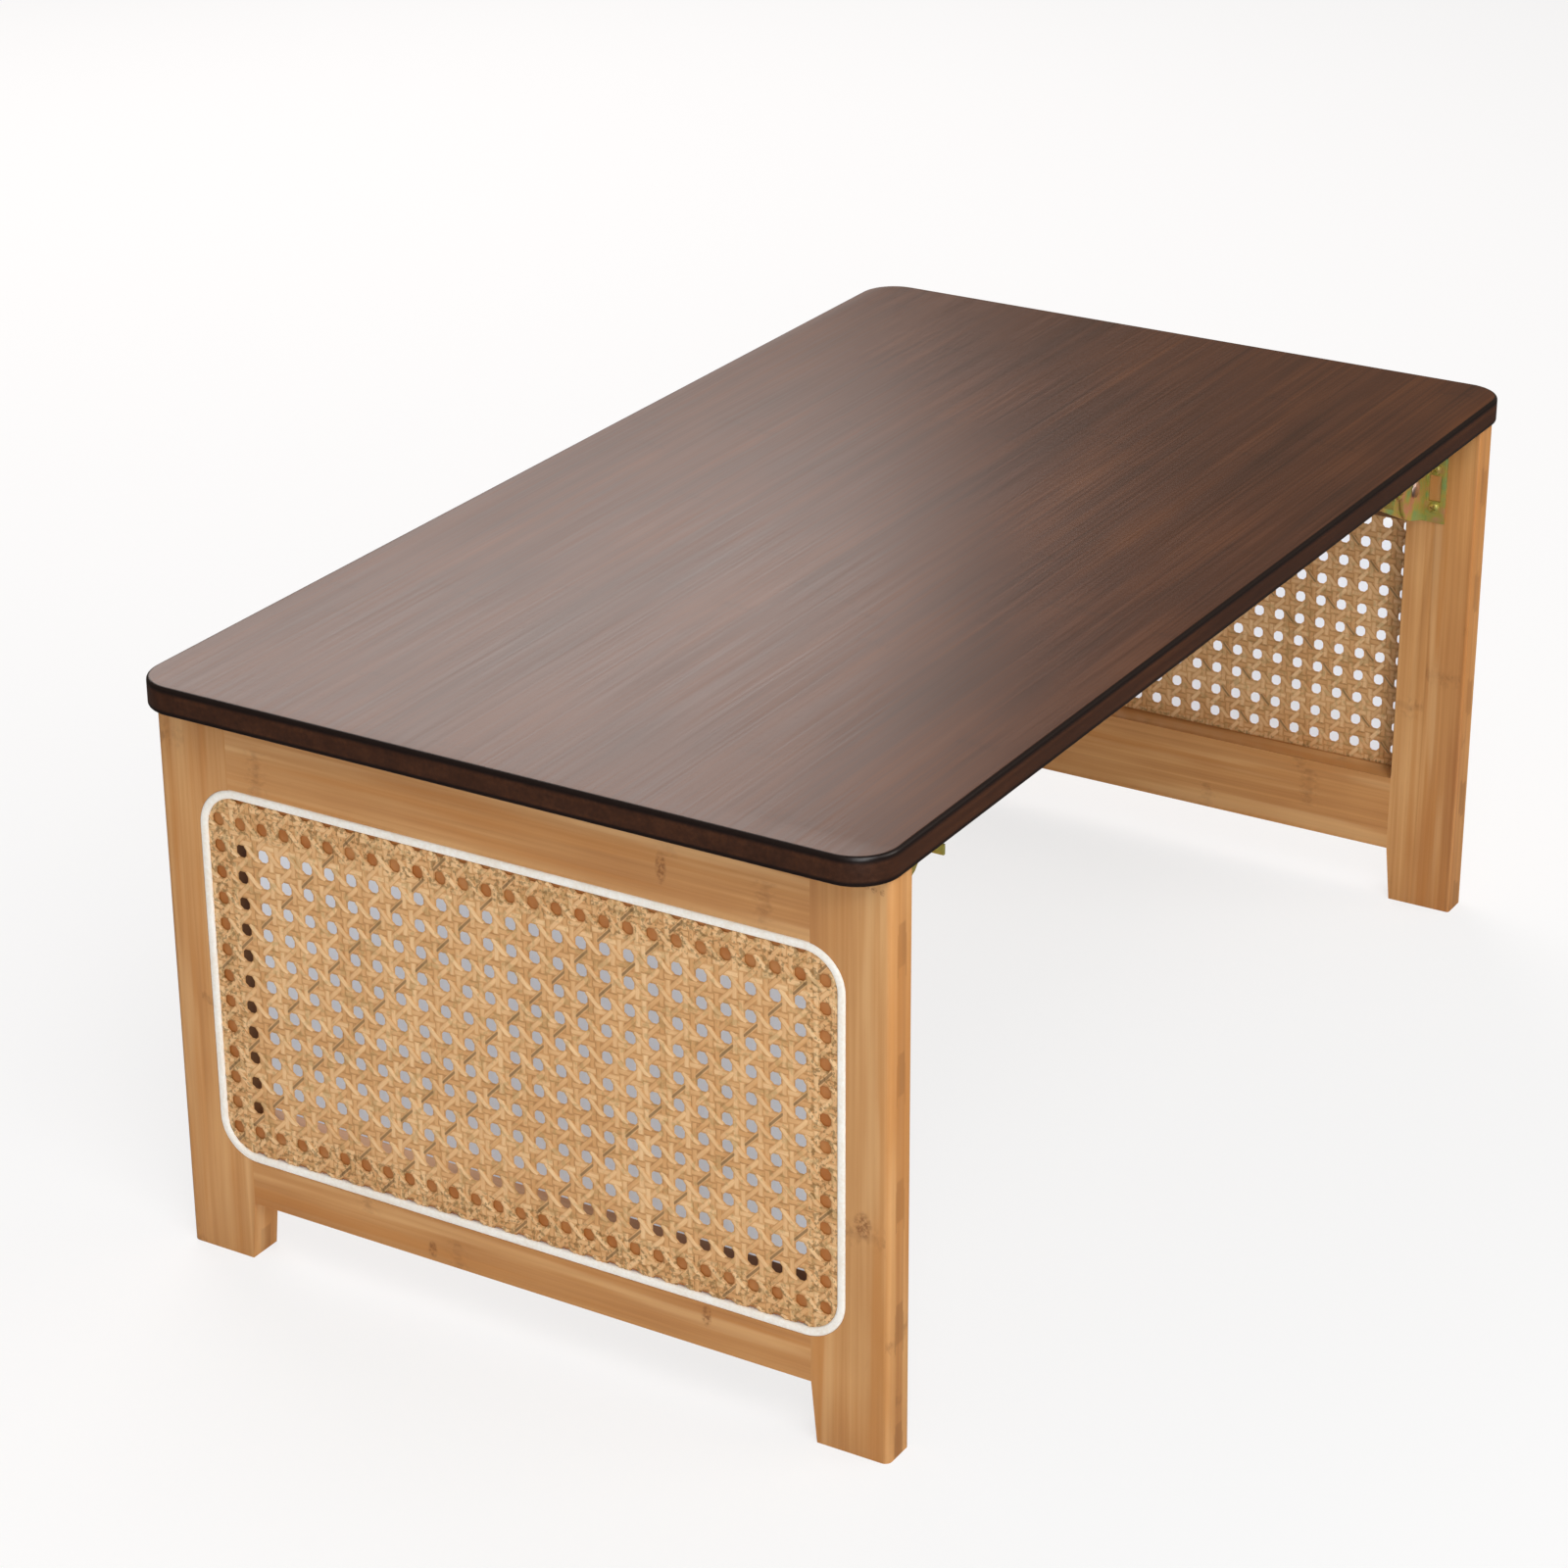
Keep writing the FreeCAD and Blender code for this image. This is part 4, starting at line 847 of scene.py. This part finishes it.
cane = cane_material()
cane_rng = random.Random(CANE_SEED)
upright_run = (0, EYE_PITCH_UP)
level_run = (EYE_PITCH_ACROSS, 0)
make_pairs("cane_uprights", upright_run, level_run, UPRIGHT_CELLS, UPRIGHT_PAIRS, cane, 1, cane_rng)
make_pairs("cane_levels", level_run, upright_run, LEVEL_CELLS, LEVEL_PAIRS, cane, -1, cane_rng)
make_slants("cane_falling_slants", 1, 1, cane, cane_rng)
make_slants("cane_rising_slants", -1, -1, cane, cane_rng)


# Splines: a peeled reed, pale cream, soaked and hammered into the groove over the cane's border.
# It is domed on top and stands just proud of the wood.
SPLINE_HALF_WIDTH = 0.1715
SPLINE_LOW = 0.054
SPLINE_HIGH = 0.248
SPLINE_CORNER = 0.021
SPLINE_WIDTH = 0.0043
SPLINE_FRONT = -0.3296
SPLINE_DEPTH = 0.0068
SPLINE_DOME = 0.0014
SPLINE_LIGHT = (255, 253, 246)
SPLINE_SHADE = (246, 238, 224)
SPLINE_CORNER_STEPS = 16
SPLINE_CUTS = 46
SPLINE_STRAIGHT = 0.05
SPLINE_DOME_STEPS = 4
SPLINE_SMOOTH = math.radians(40)
ON_FRONT = 0.000001
REED_DEPTH = 0.00008


def spline_material():
    """Cream reed, a little cloudy, with fine fibres."""
    recipe = Recipe("peeled_reed")
    x, y, z = recipe.place()
    fibre = recipe.noise(recipe.vector(x, y, z), scale=620, detail=4)
    cloud = recipe.noise(recipe.vector(x, y, z), scale=45, detail=3)
    shade = recipe.math("MULTIPLY_ADD", fibre, 0.55, recipe.math("MULTIPLY", cloud, 0.45))
    colour = recipe.ramp(shade, (0.34, SPLINE_SHADE), (0.60, SPLINE_LIGHT))
    recipe.feed(recipe.shader.inputs["Base Color"], colour)
    recipe.feed(recipe.shader.inputs["Roughness"], recipe.spread(fibre, 0.3, 0.7, 0.45, 0.6))
    recipe.bump(fibre, REED_DEPTH)
    return recipe.material


def make_spline():
    """A round-cornered ring, inset out of a plane, deepened into the groove and domed in front."""
    middle = (SPLINE_LOW + SPLINE_HIGH) / 2
    bpy.ops.object.select_all(action="DESELECT")
    bpy.ops.mesh.primitive_plane_add(size=1, location=(SPLINE_FRONT, 0, middle), rotation=(0, -math.pi / 2, 0))
    spline = bpy.context.object
    spline.name = "reed_spline"
    spline.scale = (SPLINE_HIGH - SPLINE_LOW, 2 * SPLINE_HALF_WIDTH, 1)
    bpy.ops.object.transform_apply(location=True, rotation=True, scale=True)
    bpy.ops.object.mode_set(mode="EDIT")
    bpy.ops.mesh.select_all(action="SELECT")
    bpy.ops.mesh.bevel(offset=SPLINE_CORNER, segments=SPLINE_CORNER_STEPS, affect="VERTICES")
    bpy.ops.mesh.select_mode(type="FACE")
    bpy.ops.mesh.select_all(action="SELECT")
    bpy.ops.mesh.inset(thickness=SPLINE_WIDTH)
    bpy.ops.mesh.delete(type="FACE")
    select_parts(spline, "EDGE", lambda edge: edge.calc_length() > SPLINE_STRAIGHT)
    bpy.ops.mesh.subdivide(number_cuts=SPLINE_CUTS)
    bpy.ops.mesh.select_all(action="SELECT")
    bpy.ops.mesh.extrude_region_move(TRANSFORM_OT_translate={"value": (SPLINE_DEPTH, 0, 0)})
    select_parts(
        spline,
        "EDGE",
        lambda edge: all(abs(vert.co.x - SPLINE_FRONT) < ON_FRONT for vert in edge.verts)
        and any(abs(face.normal.x) < 0.5 for face in edge.link_faces),
    )
    bpy.ops.mesh.bevel(offset=SPLINE_DOME, segments=SPLINE_DOME_STEPS, affect="EDGES")
    bpy.ops.mesh.select_all(action="SELECT")
    bpy.ops.mesh.normals_make_consistent(inside=False)
    bpy.ops.object.mode_set(mode="OBJECT")
    bpy.ops.object.shade_smooth_by_angle(angle=SPLINE_SMOOTH)
    spline.data.materials.append(spline_material())
    place_at_both_ends(spline, "spline")


make_spline()


# Folding brackets: plates pressed from sheet steel with a yellow zinc finish. A top bracket is screwed
# under the board and a leg bracket to each leg; a sprung lever between them locks the fold.
PLATE_ARRIS = 0.0003
PLATE_ARRIS_STEPS = 2
ZINC_OLIVE = (196, 184, 92)
ZINC_GREEN = (150, 188, 120)
ZINC_PINK = (222, 158, 124)
ZINC_YELLOW = (214, 196, 104)
ZINC_METALLIC = 0.55
ZINC_GRAIN_DEPTH = 0.00003


def zinc_material():
    """Yellow passivated zinc, which runs from green to olive and pink."""
    recipe = Recipe("yellow_zinc")
    point = recipe.vector(*recipe.place())
    wash = recipe.noise(point, scale=95, detail=3)
    cloud = recipe.noise(point, scale=38, detail=2)
    grain = recipe.noise(point, scale=1400, detail=2)
    colour = recipe.ramp(wash, (0.36, ZINC_GREEN), (0.50, ZINC_OLIVE), (0.66, ZINC_PINK))
    colour = recipe.mix(recipe.spread(cloud, 0.4, 0.7, 0.0, 0.5), colour, srgb(*ZINC_YELLOW))
    recipe.feed(recipe.shader.inputs["Base Color"], colour)
    recipe.shader.inputs["Metallic"].default_value = ZINC_METALLIC
    recipe.feed(recipe.shader.inputs["Roughness"], recipe.spread(grain, 0.3, 0.7, 0.30, 0.44))
    recipe.bump(grain, ZINC_GRAIN_DEPTH)
    return recipe.material


def make_plate(node, body):
    make_eased(node, "plate", is_sharp, PLATE_ARRIS, PLATE_ARRIS_STEPS, zinc, body)


zinc = zinc_material()
for end in ("left", "right"):
    for side in ("front", "rear"):
        make_plate(f"{end}_{side}_top_bracket", "tabletop")
        make_plate(f"{end}_{side}_leg_bracket", f"{end}_frame")
        make_plate(f"{end}_{side}_lock_lever", f"{end}_{side}_lever")


# Rivets: headed steel pins, domed where they are set. The thick one is the frame's pivot,
# and the thin one carries the lever and its spring.
PIVOT_REACH = 0.293
PIVOT_RISE = 0.254
BRACKET_LINE = 0.1635
LEVER_REACH = 0.016
LEVER_RISE = 0.022
# Each rivet's outline: how far outwards from the plates' line, and the radius there.
PIVOT_PROFILE = (
    (-0.00315, 0.0018), (-0.00290, 0.0034), (-0.00235, 0.0045), (-0.00170, 0.0048), (-0.00165, 0.0024),
    (0.00180, 0.0024), (0.00185, 0.0048), (0.00250, 0.0045), (0.00305, 0.0034), (0.00330, 0.0018),
)
LEVER_PROFILE = (
    (-0.00315, 0.0014), (-0.00290, 0.0025), (-0.00235, 0.0032), (-0.00170, 0.0035), (-0.00165, 0.0018),
    (0.00420, 0.0018), (0.00425, 0.0035), (0.00485, 0.0032), (0.00545, 0.0025), (0.00570, 0.0014),
)
RIVET_SIDES = 28
RIVET_TONE = (246, 216, 202)
RIVET_ROUGHNESS = 0.36
RIVET_SMOOTH = math.radians(45)
CORNERS = tuple(
    (end, side, end_sign, side_sign)
    for end, end_sign in (("left", -1), ("right", 1))
    for side, side_sign in (("front", -1), ("rear", 1))
)


def turned(name, profile, sides):
    """A round piece, drawn out of a disc by extruding it and changing its width at each step."""
    bpy.ops.object.select_all(action="DESELECT")
    start, radius = profile[0]
    bpy.ops.mesh.primitive_circle_add(vertices=sides, radius=radius, fill_type="NGON", location=(0, 0, start))
    piece = bpy.context.object
    piece.name = name
    bpy.ops.object.transform_apply(location=True, rotation=True, scale=True)
    bpy.ops.object.mode_set(mode="EDIT")
    bpy.ops.mesh.select_all(action="SELECT")
    for (height, wide), (last_height, last_wide) in zip(profile[1:], profile):
        bpy.ops.mesh.extrude_region_move(TRANSFORM_OT_translate={"value": (0, 0, height - last_height)})
        share = wide / last_wide
        bpy.ops.transform.resize(value=(share, share, 1), center_override=(0, 0, height))
    bpy.ops.mesh.select_all(action="SELECT")
    bpy.ops.mesh.normals_make_consistent(inside=False)
    bpy.ops.object.mode_set(mode="OBJECT")
    return piece


def place_copy(pattern, name, turn, place):
    """A copy of a finished pattern with its own mesh, turned and moved to its place."""
    piece = bpy.data.objects.new(name, pattern.data.copy())
    bpy.context.collection.objects.link(piece)
    piece.data.transform(Matrix.Translation(place) @ turn)
    return piece


def plain_steel(name, tone, roughness):
    """Plated steel with a fine grain and cloudy gloss."""
    recipe = Recipe(name)
    point = recipe.vector(*recipe.place())
    grain = recipe.noise(point, scale=1800, detail=3)
    cloud = recipe.noise(point, scale=240, detail=2)
    darker = tuple(round(level * 0.8) for level in tone)
    shade = recipe.math("MULTIPLY_ADD", grain, 0.5, recipe.math("MULTIPLY", cloud, 0.5))
    colour = recipe.ramp(shade, (0.35, darker), (0.62, tone))
    recipe.feed(recipe.shader.inputs["Base Color"], colour)
    recipe.shader.inputs["Metallic"].default_value = 1.0
    recipe.feed(recipe.shader.inputs["Roughness"], recipe.spread(cloud, 0.3, 0.7, roughness, roughness + 0.12))
    return recipe.material


def make_rivets():
    material = plain_steel("rivet_steel", RIVET_TONE, RIVET_ROUGHNESS)
    patterns = []
    for name, profile in (("pivot_rivet", PIVOT_PROFILE), ("lever_rivet", LEVER_PROFILE)):
        pattern = turned(name, profile, RIVET_SIDES)
        bpy.ops.object.shade_smooth_by_angle(angle=RIVET_SMOOTH)
        pattern.data.materials.append(material)
        patterns.append(pattern)
    for end, side, end_sign, side_sign in CORNERS:
        outward = Matrix.Rotation(-side_sign * math.pi / 2, 4, "X")
        for pattern, (inward, up) in zip(patterns, ((0, 0), (LEVER_REACH, LEVER_RISE))):
            place = (end_sign * (PIVOT_REACH - inward), side_sign * BRACKET_LINE, PIVOT_RISE + up)
            node = f"{end}_{side}_{pattern.name}"
            rivet = place_copy(pattern, node + "_turned", outward, place)
            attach(rivet, "tabletop")
            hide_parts(node)
    for pattern in patterns:
        bpy.data.objects.remove(pattern)


make_rivets()


# Lever springs: torsion springs of bright wire, coiled round the lever rivet. One leg bears on the
# board and the other on the lever's tab.
WIRE_RADIUS = 0.00042
COIL_RADIUS = 0.00268
COIL_START = 0.00245
COIL_PITCH = 0.00092
COIL_TURNS = 1.5
COIL_STEPS = 14
SPRING_TOP = 0.0314
SPRING_BEND = 0.027
SPRING_STEP_IN = 0.0012
SPRING_STEP_DOWN = 0.003
SPRING_TIP = (0.0470, 0.0109)
SPRING_TONE = (190, 190, 188)
SPRING_ROUGHNESS = 0.22


def spring_route():
    """Points along the wire: inwards, up and outwards from the fold pivot."""
    points = [(LEVER_REACH - COIL_RADIUS, height, COIL_START) for height in (SPRING_TOP, SPRING_BEND)]
    steps = round(COIL_TURNS * COIL_STEPS)
    for number in range(steps + 1):
        angle = math.pi + 2 * math.pi * number / COIL_STEPS
        points.append((
            LEVER_REACH + COIL_RADIUS * math.cos(angle),
            LEVER_RISE + COIL_RADIUS * math.sin(angle),
            COIL_START + COIL_PITCH * number / COIL_STEPS,
        ))
    last = points[-1][2]
    points.append((LEVER_REACH + COIL_RADIUS + SPRING_STEP_IN, LEVER_RISE - SPRING_STEP_DOWN, last))
    points.append((*SPRING_TIP, last))
    return points


def make_springs():
    material = plain_steel("spring_wire", SPRING_TONE, SPRING_ROUGHNESS)
    for end, side, end_sign, side_sign in CORNERS:
        bpy.ops.object.select_all(action="DESELECT")
        route = bpy.data.curves.new(f"{end}_{side}_spring_coil", "CURVE")
        route.dimensions = "3D"
        line = route.splines.new("NURBS")
        points = spring_route()
        line.points.add(len(points) - 1)
        for point, (inward, up, outward) in zip(line.points, points):
            beside = side_sign * (BRACKET_LINE + outward)
            point.co = (end_sign * (PIVOT_REACH - inward), beside, PIVOT_RISE + up, 1)
        line.order_u = 3
        line.use_endpoint_u = True
        line.resolution_u = 3
        route.bevel_depth = WIRE_RADIUS
        route.bevel_resolution = 3
        route.use_fill_caps = True
        spring = bpy.data.objects.new(route.name, route)
        bpy.context.collection.objects.link(spring)
        choose_only(spring)
        bpy.ops.object.convert(target="MESH")
        spring = bpy.context.object
        spring.data.materials.append(material)
        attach(spring, "tabletop")
        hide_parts(f"{end}_{side}_lever_spring")


make_springs()


# Screws: pan-headed steel screws with a yellow zinc finish and a cross recess.
# Three go up into the board through each top bracket, and two into each leg.
SCREW_SIDES = 28
# The screw's outline: how far up from the plate, and the radius there.
SCREW_PROFILE = (
    (-0.00180, 0.0008), (-0.00176, 0.0016), (-0.00150, 0.0024), (-0.00095, 0.0030), (-0.00030, 0.0032),
    (0.00000, 0.0031), (0.00002, 0.00145), (0.00800, 0.00140), (0.01040, 0.00030),
)
RECESS_LENGTH = 0.0034
RECESS_WIDTH = 0.00085
RECESS_DEPTH = 0.0012
TOP_SCREW_REACHES = (-0.004, 0.016, 0.036)
TOP_SCREW_LINE = 0.1546
LEG_SCREW_LINE = 0.1699
LEG_SCREW_RISES = (-0.015, 0.007)
PLATE_THICKNESS = 0.0015
UNDERSIDE = 0.286
LEG_FACE = 0.311
SCREW_SMOOTH = math.radians(35)
SCREW_SEED = 5


def make_screw_pattern(material):
    """One screw, turned with its head down, with a cross cut into the head."""
    screw = turned("screw", SCREW_PROFILE, SCREW_SIDES)
    for turn in (0, math.pi / 2):
        bpy.ops.object.select_all(action="DESELECT")
        bpy.ops.mesh.primitive_cube_add(
            size=1,
            location=(0, 0, SCREW_PROFILE[0][0]),
            rotation=(0, 0, turn),
            scale=(RECESS_LENGTH, RECESS_WIDTH, 2 * RECESS_DEPTH),
        )
        cutter = bpy.context.object
        bpy.ops.object.transform_apply(location=True, rotation=True, scale=True)
        choose_only(screw)
        cut = screw.modifiers.new("recess", "BOOLEAN")
        cut.operation = "DIFFERENCE"
        cut.object = cutter
        cut.solver = "EXACT"
        bpy.ops.object.modifier_apply(modifier=cut.name)
        bpy.data.objects.remove(cutter)
    choose_only(screw)
    bpy.ops.object.shade_smooth_by_angle(angle=SCREW_SMOOTH)
    screw.data.materials.clear()
    screw.data.materials.append(material)
    return screw


def make_screws():
    pattern = make_screw_pattern(zinc)
    rng = random.Random(SCREW_SEED)
    for end, side, end_sign, side_sign in CORNERS:
        outward = Matrix.Rotation(end_sign * math.pi / 2, 4, "Y")
        for number, reach in enumerate(TOP_SCREW_REACHES, start=1):
            spin = Matrix.Rotation(rng.uniform(0, math.pi / 2), 4, "Z")
            place = (end_sign * (PIVOT_REACH - reach), side_sign * TOP_SCREW_LINE, UNDERSIDE - PLATE_THICKNESS)
            screw = place_copy(pattern, f"{end}_{side}_top_screw_{number}", spin, place)
            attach(screw, "tabletop")
            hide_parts("top_bracket_screws")
        for number, rise in enumerate(LEG_SCREW_RISES, start=1):
            spin = Matrix.Rotation(rng.uniform(0, math.pi / 2), 4, "Z")
            place = (end_sign * (LEG_FACE - PLATE_THICKNESS), side_sign * LEG_SCREW_LINE, PIVOT_RISE + rise)
            screw = place_copy(pattern, f"{end}_{side}_leg_screw_{number}", outward @ spin, place)
            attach(screw, f"{end}_frame")
            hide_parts(f"{end}_leg_bracket_screws")
    bpy.data.objects.remove(pattern)


make_screws()
